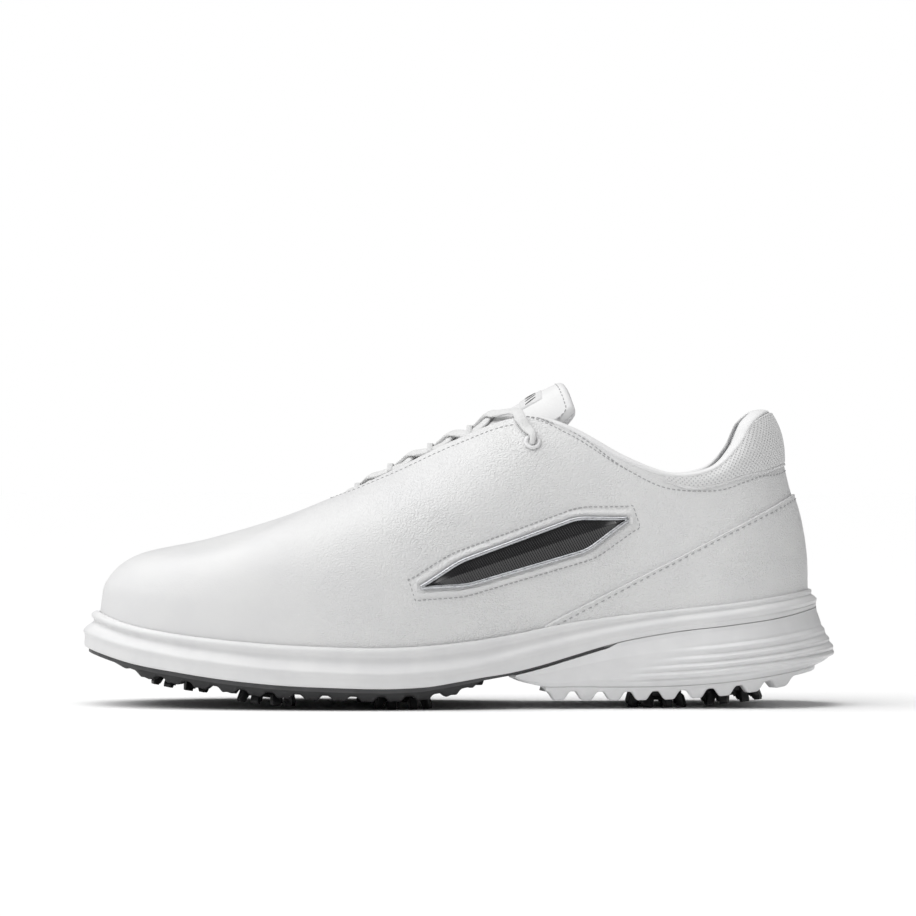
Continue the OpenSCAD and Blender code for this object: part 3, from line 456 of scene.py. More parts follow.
WEDGE_Z = [[20, 13.5], [26, 10.9], [33, 9.2], [45, 9], [80, 9], [100, 10], [120, 12.4], [142, 16.4]]

# ---- Surface of the upper ----

# Edge of the opening by angle: x, half width, z
TOP_EDGE = [
    [0, -48, 0, 85.2], [25, -47.4, 5, 85.4], [50, -45, 9.6, 86.5], [68, -38, 12.6, 89.7],
    [80, -22, 13.8, 97.4], [90, -1, 15, 107.7], [100, 24, 18.3, 116.6], [110, 45, 24.5, 111],
    [120, 66, 29.5, 99.4], [130, 85, 31, 92.6], [140, 101, 29, 94.6], [150, 111, 26, 103.2],
    [160, 117.5, 21, 113.2], [170, 124, 12.5, 117.6], [180, 127, 0, 118.2],
]
# Rise by angle: share inwards and share upwards at four stations
RISE = [
    [0, 0.03, 0.27, 0.16, 0.485, 0.45, 0.62, 0.75, 0.8], [30, 0.03, 0.28, 0.15, 0.5, 0.42, 0.65, 0.72, 0.82],
    [60, 0, 0.29, 0.1, 0.54, 0.32, 0.74, 0.66, 0.89], [90, -0.02, 0.22, 0.03, 0.45, 0.2, 0.68, 0.55, 0.87],
    [105, -0.06, 0.22, 0, 0.43, 0.16, 0.64, 0.5, 0.84], [120, -0.1, 0.22, 0, 0.42, 0.2, 0.62, 0.5, 0.82],
    [150, 0.03, 0.2, 0.16, 0.4, 0.44, 0.6, 0.74, 0.81], [180, 0.03, 0.2, 0.2, 0.4, 0.5, 0.6, 0.76, 0.82],
]


def throat_shift(x):
    return 2 * (1 - ease(-60, 40, x))


def share(a, v, column):
    """Share of the way from the rim to the opening at station v, inwards (column 1) or upwards (2)."""
    stations = [smooth(RISE, fold(a), 2 * i + column, True) for i in range(4)]
    marks = np.stack([np.zeros_like(stations[0]), *stations, np.ones_like(stations[0])])
    lean = np.concatenate([marks[1:2] - marks[:1], (marks[2:] - marks[:-2]) / 2, marks[-1:] - marks[-2:-1]])
    t = np.clip(v, 0, 1) * 5
    i = np.clip(np.floor(t).astype(int), 0, 4)[None]
    take = lambda table, index: np.take_along_axis(table, index, 0)[0]
    return hermite(take(marks, i), take(marks, i + 1), take(lean, i), take(lean, i + 1), t - i[0])


def spot(a, v):
    """The point of the upper at angle a and station v; -1 is down in the sole's cup."""
    a, v = np.broadcast_arrays(np.asarray(a, float), np.asarray(v, float))
    foot = outline(a)
    rim, floor_low = smooth(RIM_Z, foot[..., 0]), smooth(FLOOR_Z, foot[..., 0]) + 0.2
    top_x = smooth(TOP_EDGE, fold(a), 1, True)
    top_y = throat_shift(top_x) + side(a) * smooth(TOP_EDGE, fold(a), 2)
    inwards, upwards = share(a, v, 1), share(a, v, 2)
    above = v >= 0
    return stack(
        foot[..., 0] + np.where(above, (top_x - foot[..., 0]) * inwards, 0),
        foot[..., 1] + np.where(above, (top_y - foot[..., 1]) * inwards, 0),
        rim + np.where(above, (smooth(TOP_EDGE, fold(a), 3, True) - rim) * upwards, (rim - floor_low) * v),
    )


def skin_out(a, v):
    """Outward normal of the upper."""
    a, v = np.broadcast_arrays(np.asarray(a, float), np.asarray(v, float))
    along = spot(a + 0.75, v) - spot(a - 0.75, v)
    up = spot(a, np.minimum(1, v + 0.04)) - spot(a, v - 0.04)
    return unit(np.cross(along, up))


def skin(a, v, d):
    return spot(a, v) + np.asarray(d)[..., None] * skin_out(a, v)


def locate(x, z):
    """Angle and station of the surface point seen at x, z from the outer side, found in small steps."""
    mm_a_degree, mm_a_station = 2.5, 78
    a, v = np.full(np.shape(x), 105.0), np.full(np.shape(x), 0.4)
    for _ in range(24):
        seen = spot(a, v)
        a = np.clip(a + (x - seen[..., 0]) / mm_a_degree, 5, 175)
        v = np.clip(v + (z - seen[..., 2]) / mm_a_station, 0, 1)
    return a, v


# ---- Meshes: a shape is its points and its faces ----


def quads(rows, columns, loop_rows=False, loop_columns=False):
    """Faces of a grid whose points are listed row by row."""
    i = np.arange(rows if loop_rows else rows - 1)[:, None]
    j = np.arange(columns if loop_columns else columns - 1)[None]
    down, right = (i + 1) % rows, (j + 1) % columns
    corners = [i * columns + j, i * columns + right, down * columns + right, down * columns + j]
    return np.stack(corners, -1).reshape(-1, 4).tolist()


def piece(name, shape, material, stands_for=None, body="shoe", sharp=40, flat=None):
    """A mesh from a shape in millimetres, smooth-shaded but for edges sharper than sharp degrees. Flat gives
    the points' places on the cloth's own flat map."""
    points, faces = shape
    mesh = bpy.data.meshes.new(name)
    mesh.from_pydata((np.asarray(points, float).reshape(-1, 3) * MM).tolist(), [], faces)
    work = bmesh.new()
    work.from_mesh(mesh)
    bmesh.ops.recalc_face_normals(work, faces=work.faces)
    work.to_mesh(mesh)
    work.free()
    if flat is not None:
        corners = np.empty(len(mesh.loops), int)
        mesh.loops.foreach_get("vertex_index", corners)
        mesh.uv_layers.new(name="flat").data.foreach_set("uv", flat.reshape(-1, 2)[corners].ravel())
    mesh.shade_smooth()
    mesh.set_sharp_from_angle(angle=math.radians(sharp))
    mesh.materials.append(material)
    made = placed(name, mesh)
    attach(made, body)
    if stands_for:
        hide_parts(stands_for)
    return made


def join(shapes):
    """Several shapes as one."""
    points, faces, base = [], [], 0
    for some, their_faces in shapes:
        some = np.asarray(some, float).reshape(-1, 3)
        points.append(some)
        faces.extend([[k + base for k in f] for f in their_faces])
        base += len(some)
    return np.concatenate(points), faces


def slab(up, down, closed=False):
    """A solid between two grids of points, rows by columns."""
    rows, columns = up.shape[:2]
    faces = quads(2 * rows, columns, True, closed)
    if not closed:
        for k in range(rows - 1):
            near, far = k * columns, (2 * rows - 1 - k) * columns
            for end in (0, columns - 1):
                faces.append([near + end, near + columns + end, far - columns + end, far + end])
    return np.concatenate([up, down[::-1]]), faces


def eased_rows(count, crowd=0.5):
    """Shares from 0 to 1, closer together at both ends."""
    t = np.linspace(0, 1, count)
    return (1 - crowd) * t + crowd * (0.5 - 0.5 * np.cos(np.pi * t))


def lengths(points, axis):
    """Distance along a grid's lines from their starts."""
    steps = np.linalg.norm(np.diff(points, axis=axis), axis=-1)
    start = np.zeros_like(np.take(steps, [0], axis))
    return np.concatenate([start, np.cumsum(steps, axis)], axis)


def rounding(points, radius, closed=False):
    """1 in the middle of a grid and 0 at its border, as a quarter circle of that radius."""
    reach = lengths(points, 0)
    near = np.minimum(reach, reach[-1:] - reach)
    if not closed:
        along = lengths(points, 1)
        near = np.minimum(near, np.minimum(along, along[:, -1:] - along))
    return np.sqrt(1 - (1 - np.clip(near / radius, 0, 1)) ** 2)


def layer_grid(angles, rows, low, high):
    """Angles and stations of a grid between two stations, which are functions of the angle."""
    a = np.broadcast_to(angles[None], (len(rows), len(angles)))
    return a, low(a) + (high(a) - low(a)) * rows[:, None]


def layer(angles, rows, low, high, outer, inner, radius, closed=False):
    """A sheet on the upper between two stations, with rounded borders. Outer and inner are its distances from
    the surface, as functions of angle and station."""
    a, v = layer_grid(angles, rows, low, high)
    inside = inner(a, v) + np.zeros_like(v)
    body = rounding(spot(a, v), radius, closed)
    outside = inside + (outer(a, v) - inside) * (0.12 + 0.88 * body)
    return slab(skin(a, v, outside), skin(a, v, inside), closed)


def flat_map(angles, rows, low, high):
    """Places in millimetres on a layer's own flat map, for both faces of its slab."""
    points = spot(*layer_grid(angles, rows, low, high))
    reach = np.stack([lengths(points, 1), lengths(points, 0)], -1)
    return np.concatenate([reach, reach[::-1]])


def at(value):
    return lambda *_: value


def power(value, exponent):
    """A power that keeps the value's sign."""
    return np.sign(value) * np.abs(value) ** exponent


def circle(count):
    return np.linspace(0, 2 * np.pi, count, endpoint=False)


def tube(path, up, wide, tall, sides=16, square=2.0, closed=False):
    """A sweep of a rounded section; wide and tall are its sizes at each point. A higher square gives a boxier
    section."""
    path = np.asarray(path, float)
    ahead = unit(np.roll(path, -1, 0) - np.roll(path, 1, 0) if closed else np.gradient(path, axis=0))
    up = np.broadcast_to(np.asarray(up, float), path.shape)
    up = unit(up - (up * ahead).sum(-1, keepdims=True) * ahead)
    across = np.cross(ahead, up)
    t = circle(sides)
    wide, tall = (np.broadcast_to(size, (len(path),))[:, None, None] / 2 for size in (wide, tall))
    points = (path[:, None] + across[:, None] * wide * power(np.cos(t), 2 / square)[None, :, None]
              + up[:, None] * tall * power(np.sin(t), 2 / square)[None, :, None])
    faces = quads(len(path), sides, closed, True)
    if not closed:
        faces += [list(range(sides)), [len(path) * sides - 1 - k for k in range(sides)]]
    return points, faces


def resampled(line, step, others):
    """Points about step apart along a line, and other values at them."""
    along = np.concatenate([[0], np.cumsum(np.linalg.norm(np.diff(line, axis=0), axis=1))])
    marks = np.linspace(0, along[-1], max(2, round(along[-1] / step) + 1))
    return [np.stack([np.interp(marks, along, column) for column in np.asarray(values, float).T], -1)
            for values in (line, others)]


STITCH_PITCH, FOXING_PITCH, STITCH_LENGTH, STITCH_WIDE = 2.1, 2.9, 1.3, 0.42


def stitches(line, normals, pitch=STITCH_PITCH):
    """A row of small thread loops that rise from the surface and dive back into it."""
    points, outs = resampled(np.asarray(line, float), pitch, normals)
    share_along = np.linspace(-0.5, 0.5, 7)
    rise = STITCH_WIDE * (0.52 * np.cos(share_along * np.pi) - 0.3)
    shapes = []
    for centre, out, forward in zip(points, unit(outs), unit(np.gradient(points, axis=0))):
        spine = centre + forward * (share_along * STITCH_LENGTH)[:, None] + out * rise[:, None]
        shapes.append(tube(spine, out, STITCH_WIDE, STITCH_WIDE * 0.9, 6))
    return join(shapes)


# ---- Upper ----

LEATHER_T, LAYER_GAP, LINING_T, COLLAR_FOAM_T, ROLL_H = 1.4, 0.2, 0.7, 3.6, 2.5
CUP_V = -0.97  # the leather's lower edge, down in the sole's cup
MEDIAL_SEAM, BACK_SEAM, SEAM_GAP = 300, 180, 0.06
EYELET_R, EYELET_ANGLE, EYELET_V = 1.7, 102.8, 0.845
EMBLEM_TAIL, EMBLEM_HEAD = np.array([-15, 48.5]), np.array([68, 75.5])
# Share of the emblem's length, and half its width there
EMBLEM_HALF = [[0, 0.8], [0.2, 5.6], [0.78, 7.4], [1, 0.9]]
EMBLEM_RUN = np.linalg.norm(EMBLEM_HEAD - EMBLEM_TAIL)
EMBLEM_AXIS = (EMBLEM_HEAD - EMBLEM_TAIL) / EMBLEM_RUN
EMBLEM_ACROSS = np.array([-EMBLEM_AXIS[1], EMBLEM_AXIS[0]])


def emblem_half(t):
    """Half width of the emblem at share t of its length, with its corners rounded a little."""
    near = np.linspace(-0.04, 0.04, 9)
    return np.mean([np.interp(np.clip(t + d, 0, 1), *np.array(EMBLEM_HALF).T) for d in near], axis=0)


def upper_relief(a, v):
    """Rolled lip round the emblem and the pressed channel of the stitches outside it."""
    points = spot(a, v)
    flat = points[..., [0, 2]] - EMBLEM_TAIL
    along, across = flat @ EMBLEM_AXIS, np.abs(flat @ EMBLEM_ACROSS)
    t = np.clip(along / EMBLEM_RUN, 0, 1)
    outside = np.hypot(along - t * EMBLEM_RUN, np.maximum(across - emblem_half(t), 0))
    return np.where(points[..., 1] < 0, 0.9 * hump(outside, 1.3, 0.9) - 0.22 * hump(outside, 3.5, 0.7), 0)


def on_side(a, s):
    """The angle on the outer side when s is -1, and on the inner side when it is 1."""
    return float(a if s < 0 else mirrored(a))


def eyelet_frame(s):
    """Centre of the top eyelet on side s, and the surface's normal there."""
    a = on_side(EYELET_ANGLE, s)
    return spot(a, EYELET_V), skin_out(a, EYELET_V)


def punched(made, sides=(-1, 1)):
    """Cuts the holes of the top eyelets through a piece."""
    cutters = []
    hole, half_depth = 2 * EYELET_R + 0.9, 8.0
    for s in sides:
        centre, normal = eyelet_frame(s)
        axis = centre + normal * np.array([[-half_depth], [half_depth]])
        points, faces = tube(axis, [0, 0, 1], hole, hole, 32)
        mesh = bpy.data.meshes.new("cutter")
        mesh.from_pydata((points.reshape(-1, 3) * MM).tolist(), [], faces)
        cutters.append(placed("cutter", mesh))
        cut = made.modifiers.new("eyelet", "BOOLEAN")
        cut.operation, cut.solver, cut.object = "DIFFERENCE", "EXACT", cutters[-1]
    bpy.context.view_layer.update()
    result = bpy.data.meshes.new_from_object(made.evaluated_get(bpy.context.evaluated_depsgraph_get()))
    made.modifiers.clear()
    made.data = result
    for cutter in cutters:
        bpy.data.objects.remove(cutter)


def make_upper():
    """The vamp with the outer quarter, and the inner quarter."""
    v = np.concatenate([np.linspace(CUP_V, -0.02, 6), np.linspace(0, 1, 132)])
    rows = (v - CUP_V) / (1 - CUP_V)
    for name, start, end, node_name, s in (
            ("vamp_leather", MEDIAL_SEAM - 360, BACK_SEAM, "vamp_and_lateral_quarter", -1),
            ("inner_quarter_leather", BACK_SEAM, MEDIAL_SEAM, "medial_quarter", 1)):
        angles = np.linspace(start + SEAM_GAP, end - SEAM_GAP, round((end - start) / 0.75))
        shape = layer(angles, rows, at(CUP_V), at(1.0), upper_relief, at(-LEATHER_T), 0.55)
        punched(piece(name, shape, WHITE_LEATHER, node_name), [s])


# Upper edge of the heel foxing, as x and z seen from the outer side
FOXING_ROW = [[30, 30.5], [41, 36.8], [88, 60.3], [138, 86.7]]
FOXING_STITCH_DROP = 0.027  # in stations


def foxing_table():
    """Station of the foxing's upper edge by angle, found by halving."""
    a = np.linspace(104, 180, 39)
    below, over = np.zeros_like(a), np.full_like(a, 0.9)
    for _ in range(24):
        v = (below + over) / 2
        seen = spot(a, v)
        too_high = seen[:, 2] > np.interp(seen[:, 0], *np.array(FOXING_ROW).T)
        below, over = np.where(too_high, below, v), np.where(too_high, v, over)
    return np.stack([a, v], -1)


FOXING_TOP = foxing_table()


def foxing_top(a):
    return smooth(FOXING_TOP, fold(a))


def foxing_relief(a, v):
    """A raised upper edge, and a pressed channel for the stitches below it."""
    below = foxing_top(a) - v
    return 1.15 + 0.16 * hump(below, 0.007, 0.005) - 0.12 * hump(below, FOXING_STITCH_DROP, 0.007)


def make_heel_foxing():
    rows = np.concatenate([np.linspace(0, 0.8, 30), np.linspace(0.81, 1, 60)])
    shape = layer(np.linspace(105, 255, 260), rows, at(-0.06), foxing_top, foxing_relief, at(0.1), 0.4)
    piece("foxing_panel", shape, FOXING_LEATHER, "heel_foxing")


# Lower edge of the collar panel: angle and station
PANEL_LOW = [[129, 0.95], [134, 0.91], [140, 0.89], [150, 0.815], [160, 0.72], [170, 0.7], [180, 0.7]]
PANEL_START, PANEL_TOP_V, PIPING_START, PIPING_WIDE = 128.5, 0.999, 127.5, 1.1


def panel_low(a):
    return smooth(PANEL_LOW, np.maximum(PANEL_LOW[0][0], fold(a)), 1, True)


def panel_crown(a, v):
    t = np.clip((v - panel_low(a)) / (0.985 - panel_low(a)), 0, 1)
    return 0.45 + 1.5 * np.sin(np.pi * t) ** 0.8 * ease(129, 150, fold(a))


def make_collar_panel():
    """The padded panel round the heel, and the thin piping along its lower edge."""
    grid = np.linspace(PANEL_START, mirrored(PANEL_START), 300), eased_rows(60), panel_low, at(PANEL_TOP_V)
    piece("collar_panel", layer(*grid, panel_crown, at(0.05), 0.8), COLLAR_MESH, "collar_mesh",
          flat=flat_map(*grid))
    a = np.linspace(PIPING_START, mirrored(PIPING_START), 420)
    out = skin_out(a, panel_low(a))
    wide = PIPING_WIDE * np.minimum(1, 0.2 + (fold(a) - PIPING_START) / 5)
    piping = tube(spot(a, panel_low(a) - 0.004) + out * 0.1, out, wide, wide, 12, 2.2)
    piece("topline_edge", piping, WHITE_LEATHER)


def lining_depth(a, v):
    """Depth of the lining's outer face: it lies on the toe puff, heel counter, eyestays and collar foam."""
    f = fold(a)
    return LEATHER_T + LAYER_GAP + np.maximum.reduce([
        (1 - ease(50, 58, f)) * (1 - ease(0.48, 0.62, v)),
        ease(112, 124, f) * (1 - ease(0.58, 0.7, v)) * 1.4,
        ease(50, 58, f) * (1 - ease(104, 112, f)) * ease(0.62, 0.72, v) * 0.9,
        ease(104, 118, f) * ease(0.5, 0.64, v) * (COLLAR_FOAM_T + LAYER_GAP),
    ])


def make_lining():
    shape = layer(np.arange(0, 360, 1.5), eased_rows(70, 0.2), at(-0.96), at(1.0),
                  lambda a, v: -lining_depth(a, v), lambda a, v: -lining_depth(a, v) - LINING_T, 0.3, True)
    made = piece("inner_lining", shape, LINING, "lining")
    punched(made)


def make_collar_foam():
    shape = layer(np.linspace(120, 240, 140), eased_rows(24), at(0.7), at(1.0), at(-LEATHER_T - LAYER_GAP),
                  at(-LEATHER_T - COLLAR_FOAM_T + 0.1), 1.5)
    piece("collar_padding", shape, PADDING_FOAM, "collar_foam")


def make_collar_roll():
    start = 103.5
    a = np.linspace(start, mirrored(start), 440)
    grow = np.minimum(1, 0.3 + (fold(a) - start) / 6)
    inwards = unit(skin_out(a, 0.97) * [1, 1, 0])
    wide = LEATHER_T + LINING_T + 0.7 + COLLAR_FOAM_T * ease(103, 118, fold(a))
    back = ease(158, 172, fold(a))
    centre = spot(a, 1) - inwards * (wide / 2 - 0.3 + 1.2 * back)[:, None] \
        + stack(0, 0, ROLL_H / 2 - 0.9 - 0.3 * back)
    roll = tube(centre, [0, 0, 1], wide * grow, ROLL_H * grow, 24, 2.3)
    piece("collar_binding", roll, BINDING, "collar_roll", sharp=60)


# ---- Seams ----

# Stitch row below the topline, as x and z seen from the outer side
TOPLINE_ROW = [[22, 118.2], [25, 117.9], [35.9, 113.7], [46.9, 108.1], [57.7, 101.1], [68.6, 94.6],
               [79.4, 89.1], [90.3, 86.9], [112.1, 89.3], [127.3, 93]]


def seam(name, a, v, lift=0.0, pitch=STITCH_PITCH):
    out = skin_out(a, v)
    piece(name, stitches(spot(a, v) + out * lift, out, pitch), SHADED_STITCH)


def make_seams():
    a, v = locate(*np.array(TOPLINE_ROW).T)
    table = np.stack([np.append(a, 180), np.append(v, v[-1])], -1)
    fine = np.linspace(a[0], 180, 260)
    row = smooth(table, fine)
    front = fine[fine < 122]
    second_row = row[: len(front)] + 0.028 * (1 - ease(112, 122, front))
    around = np.linspace(106, 180, 200)
    for name, turned in (("outer", lambda a: a), ("inner", mirrored)):
        seam(f"topline_stitches_{name}", turned(fine), row)
        seam(f"topline_second_stitches_{name}", turned(front), second_row)
        seam(f"foxing_stitches_{name}", turned(around), foxing_top(around) - FOXING_STITCH_DROP, 1.12,
             FOXING_PITCH)
    edge = np.linspace(-99, 99, 400)
    seam("eyestay_stitches", edge, 0.97 - 0.02 * ease(15, 60, np.abs(edge)))
    rise = np.linspace(0.03, 0.94, 120)
    degree = np.linalg.norm(spot(MEDIAL_SEAM + 0.5, rise) - spot(MEDIAL_SEAM - 0.5, rise), axis=-1)
    for name, beside in (("rear", -2.1), ("front", 2.1)):
        seam(f"inner_seam_stitches_{name}", MEDIAL_SEAM + beside / degree, rise)


def emblem_grid(along, half, count):
    """Angles and stations of a grid inside the emblem's outline, and the shares across it."""
    across = np.linspace(-1, 1, count)
    flat = (EMBLEM_TAIL + EMBLEM_AXIS * along[:, None])[None] \
        + across[:, None, None] * EMBLEM_ACROSS * half[None, :, None]
    return *locate(flat[..., 0], flat[..., 1]), across[:, None]


def make_emblem():
    """A silver frame with a rounded section, a black ribbed bar inside it, and stitches round them."""
    t = eased_rows(120, 0.35)
    half = np.maximum(0.8, emblem_half(t))

    def ring_at(grow, lift, closed=False):
        """Points and normals round the emblem, grown outside its outline and lifted off the leather."""
        spine = EMBLEM_TAIL + EMBLEM_AXIS * (t * EMBLEM_RUN + (2 * t - 1) * grow)[:, None]
        reach = EMBLEM_ACROSS * (half + grow)[:, None]
        around = np.concatenate([spine + reach, (spine - reach)[::-1]])
        a, v = locate(*(np.concatenate([around, around[:1]]) if closed else around).T)
        return skin(a, v, lift), skin_out(a, v)

    a, v, _ = emblem_grid(t * (EMBLEM_RUN - 1) + 0.5, half - 0.8, 25)
    frame_shape = join([tube(*ring_at(-0.7, 1.1), 1.5, 1.3, 12, 2.4, True),
                        slab(skin(a, v, 0.8), skin(a, v, 0.1))])
    piece("emblem_frame", frame_shape, SILVER_RIM, "emblem_bezel")

    t2 = np.linspace(0.02, 0.98, 620)
    half2 = np.maximum(0.25, emblem_half(t2) - 1.5)
    a, v, across = emblem_grid(t2 * EMBLEM_RUN, half2, 33)
    slope = np.abs(across)
    rib = 0.13 * np.sin(2 * np.pi * (t2 * EMBLEM_RUN)[None] / 0.95 + across * half2[None] * 1.6)
    rise = 1.15 + 0.95 * (1 - slope) ** 1.3 + rib * (1 - slope**6)
    piece("emblem_bar", slab(skin(a, v, rise), skin(a, v, 0.85)), BLACK_GLOSS, "emblem_inlay", sharp=60)
    piece("emblem_stitches", stitches(*ring_at(3.4, -0.1, True)), SHADED_STITCH)


# ---- Sole ----

# How far the sole's rings lie outside the last's outline, as x and distance
RIM_OUT, GROOVE_OUT = 1.4, [[-146, 2.9], [-20, 2.6], [30, 2.4], [142, 2.6]]
LEDGE_OUT = [[-146, 5.4], [-60, 4.2], [-15, 3.9], [20, 3.2], [142, 3.6]]
WALL_OUT = [[-146, 6.5], [-60, 5.2], [-15, 4.8], [20, 3.9], [70, 3.9], [142, 4.6]]
EDGE_OUT = [[-146, 5.4], [-60, 4.6], [-15, 4.2], [20, 3.6], [70, 3.6], [142, 4.6]]
WEDGE_MID_OUT = [[20, 3.4], [60, 5.2], [100, 6.2], [142, 7]]
WEDGE_FLARE_OUT = [[20, 2.6], [45, 4.6], [70, 6.4], [110, 8], [142, 11.6]]
WEDGE_FOOT_OUT = [[20, 1], [45, 3], [80, 3.6], [142, 4]]
PLATE_END_X, HEEL_PLATE_T, PLATE_T = 58, 2, 1.6
LUG_H, LUG_PITCH = 3.4, 11
FIRST_HEEL_LUG, LAST_HEEL_LUG, FIRST_FOREFOOT_LUG, LAST_FOREFOOT_LUG = 40, 128, -124, 8
LUG_INSET, CLEAT_ROWS = 22, [[-27, 16], [-79, 18]]  # x of the cleats, and how far single blocks keep off
# Heights of the wedge's ridges, as shares of its height
RIDGES = [0.1, 0.23, 0.36, 0.5, 0.66]


def grown(table, d):
    return [[x, value + d] for x, value in table]


def bead(table, d):
    """The table grown by d at the toe and by little at the heel, where the welt's beads flatten."""
    return [[x, value + d * (1 - 0.8 * float(ease(0, 100, x)))] for x, value in table]


def ring(angles, d, z, dz=0.0):
    x = outline(angles)[:, 0]
    sideways = smooth(d, x) if isinstance(d, list) else d
    return np.concatenate([plan(angles, sideways), (smooth(z, x) + dz)[:, None]], 1)


def welt_ring(angles, d, share_up):
    """A ring part of the way from the outer ledge up to the rim."""
    x = outline(angles)[:, 0]
    return ring(angles, d, LEDGE_Z, share_up * (smooth(RIM_Z, x) - smooth(LEDGE_Z, x)))


def seat(angles):
    """Rings of the midsole's underside, from its middle out to its edge."""
    return [ring(angles, d, z) for d, z in (
        (-15, BASE_Z), (-9, BASE_Z), (1.4, SEAT_Z), (2.3, EDGE_Z), (EDGE_OUT, EDGE_Z))]


def across_caps(count, base):
    """Faces that close a ring of points straight across; the ring runs from the toe round to the toe."""
    faces = [[0, 1, count - 1]]
    faces += [[i, i + 1, count - i - 1, count - i] for i in range(1, count // 2 - 1)]
    faces.append([count // 2 - 1, count // 2, count // 2 + 1])
    return [[k + base for k in f] for f in faces]


def make_midsole():
    """The underside, the side wall with its ledge, the beaded welt, and the cup that the upper stands in."""
    angles = np.arange(0, 360, 1.0)
    levels = np.stack([
        *seat(angles),
        ring(angles, grown(WALL_OUT, -0.2), EDGE_Z, 0.4),
        ring(angles, grown(WALL_OUT, -0.1), EDGE_Z, 1.6),
        ring(angles, grown(WALL_OUT, -0.45), LEDGE_Z, -2.6),
        ring(angles, grown(WALL_OUT, 0.1), LEDGE_Z, -1.5),
        ring(angles, grown(WALL_OUT, 0.25), LEDGE_Z, -0.5),
        ring(angles, bead(LEDGE_OUT, 0.5), LEDGE_Z, 0.5),
        welt_ring(angles, bead(LEDGE_OUT, -0.7), 0.22),
        *[welt_ring(angles, bead(GROOVE_OUT, d), up) for d, up in (
            (-0.5, 0.42), (-0.4, 0.6), (0.55, 0.72), (0.6, 0.88))],
        ring(angles, RIM_OUT + 0.7, RIM_Z, 0.35),
        ring(angles, 0.3, RIM_Z, 0.15),
        ring(angles, 0.25, RIM_Z, -1),
        ring(angles, 0.25, FLOOR_Z),
    ])
    first, last = 4, 18  # the levels seen from outside, which are rounded
    levels = np.concatenate([levels[:first], corner_cut(levels[first:last], 2), levels[last:]])
    count = len(angles)
    faces = quads(len(levels), count, False, True)
    faces += across_caps(count, 0) + across_caps(count, (len(levels) - 1) * count)
    piece("midsole_body", (levels, faces), WHITE_MIDSOLE, "midsole", sharp=50)


def heel_loft(levels):
    """A solid through rings that run round the heel and stop in the waist, an odd number of points each."""
    levels = np.stack(levels)
    rows, count = levels.shape[:2]
    faces = quads(rows, count)
    for base in (0, (rows - 1) * count):
        for i in range(0, count // 2 - 1):
            faces.append([base + i, base + i + 1, base + count - 2 - i, base + count - 1 - i])
        faces.append([base + count // 2 - 1, base + count // 2, base + count // 2 + 1])
    faces.append([k * count for k in range(rows)] + [k * count + count - 1 for k in range(rows - 1, -1, -1)])
    return levels, faces


def make_heel_wedge():
    """The wedge under the heel, with grooves between ridges that flare out towards the ground."""
    angles = np.linspace(100, 260, 321)
    x = outline(angles)[:, 0]
    foot, top_edge = smooth(WEDGE_Z, x), smooth(EDGE_Z, x) - 1.3
    outs = [smooth(t, x) for t in (WEDGE_FOOT_OUT, WEDGE_FLARE_OUT, WEDGE_FLARE_OUT, WEDGE_MID_OUT, EDGE_OUT)]
    levels = [ring(angles, -12, WEDGE_Z), ring(angles, WEDGE_FOOT_OUT, WEDGE_Z)]
    for s in np.linspace(0.05, 0.97, 96):
        base = np.interp(s, [0, 0.2, 0.32, 0.7, 1], range(5))
        k = min(3, int(base))
        sideways = outs[k] + (outs[k + 1] - outs[k]) * (base - k)
        for n, ridge in enumerate(RIDGES):
            fade = ease(44 + 9 * n, 88 + 6 * n, x) * (1 - 0.5 * ease(160, 180, fold(angles)))
            sideways = sideways + fade * (0.75 * hump(s, ridge, 0.042) - 0.4 * hump(s, ridge + 0.065, 0.03))
        levels.append(np.concatenate([plan(angles, sideways), (foot + (top_edge - foot) * s)[:, None]], 1))
    # Below the midsole's seat, where it leaves room for the outsole plate that reaches in between
    under = 0.3 + 1.1 * (1 - ease(PLATE_END_X + 1, PLATE_END_X + 6, x))
    levels += [level - stack(0, 0, under) for level in seat(angles)[::-1]]
    piece("heel_wedge_body", heel_loft(levels), WHITE_TPU, "heel_wedge", sharp=55)


def off_lug(x, first):
    """Distance along the shoe from the middle of the nearest block of a row."""
    return np.abs((x - first + LUG_PITCH / 2) % LUG_PITCH - LUG_PITCH / 2)


def make_heel_outsole():
    """The plate under the wedge, with a scalloped row of tread blocks along its edge."""
    angles = np.linspace(105, 255, 601)
    x = outline(angles)[:, 0]
    beyond = (x < FIRST_HEEL_LUG - 5) | (x > LAST_HEEL_LUG + 5)
    block = np.where(beyond, 0, 1 - ease(1.5, 4.7, off_lug(x, FIRST_HEEL_LUG))) * LUG_H
    foot = lambda d: grown(WEDGE_FOOT_OUT, d)
    # Distance outside the outline, share of the block's height, and height above the plate's underside
    profile = [(-12, 0, 0), (-5.2, 0, 0), (-4.2, 0.25, 0), (-3.5, 0.85, 0), (-2.9, 1, 0), (foot(-1.9), 1, 0),
               (foot(-1.3), 0.9, 0.1), (foot(-0.75), 0.4, 0.2), (foot(-0.4), 0, 0.4), (foot(0), 0, 1),
               (foot(0), 0, 1.9), (-12, 0, 1.9)]
    levels = [ring(angles, d, WEDGE_Z, up - part * block - HEEL_PLATE_T) for d, part, up in profile]
    piece("heel_tread", heel_loft(levels), WHITE_TPU, "heel_outsole", sharp=50)


def plate_at(x):
    """Thickness of the forefoot plate."""
    return PLATE_T + (1 - PLATE_T) * ease(-12, 18, x)


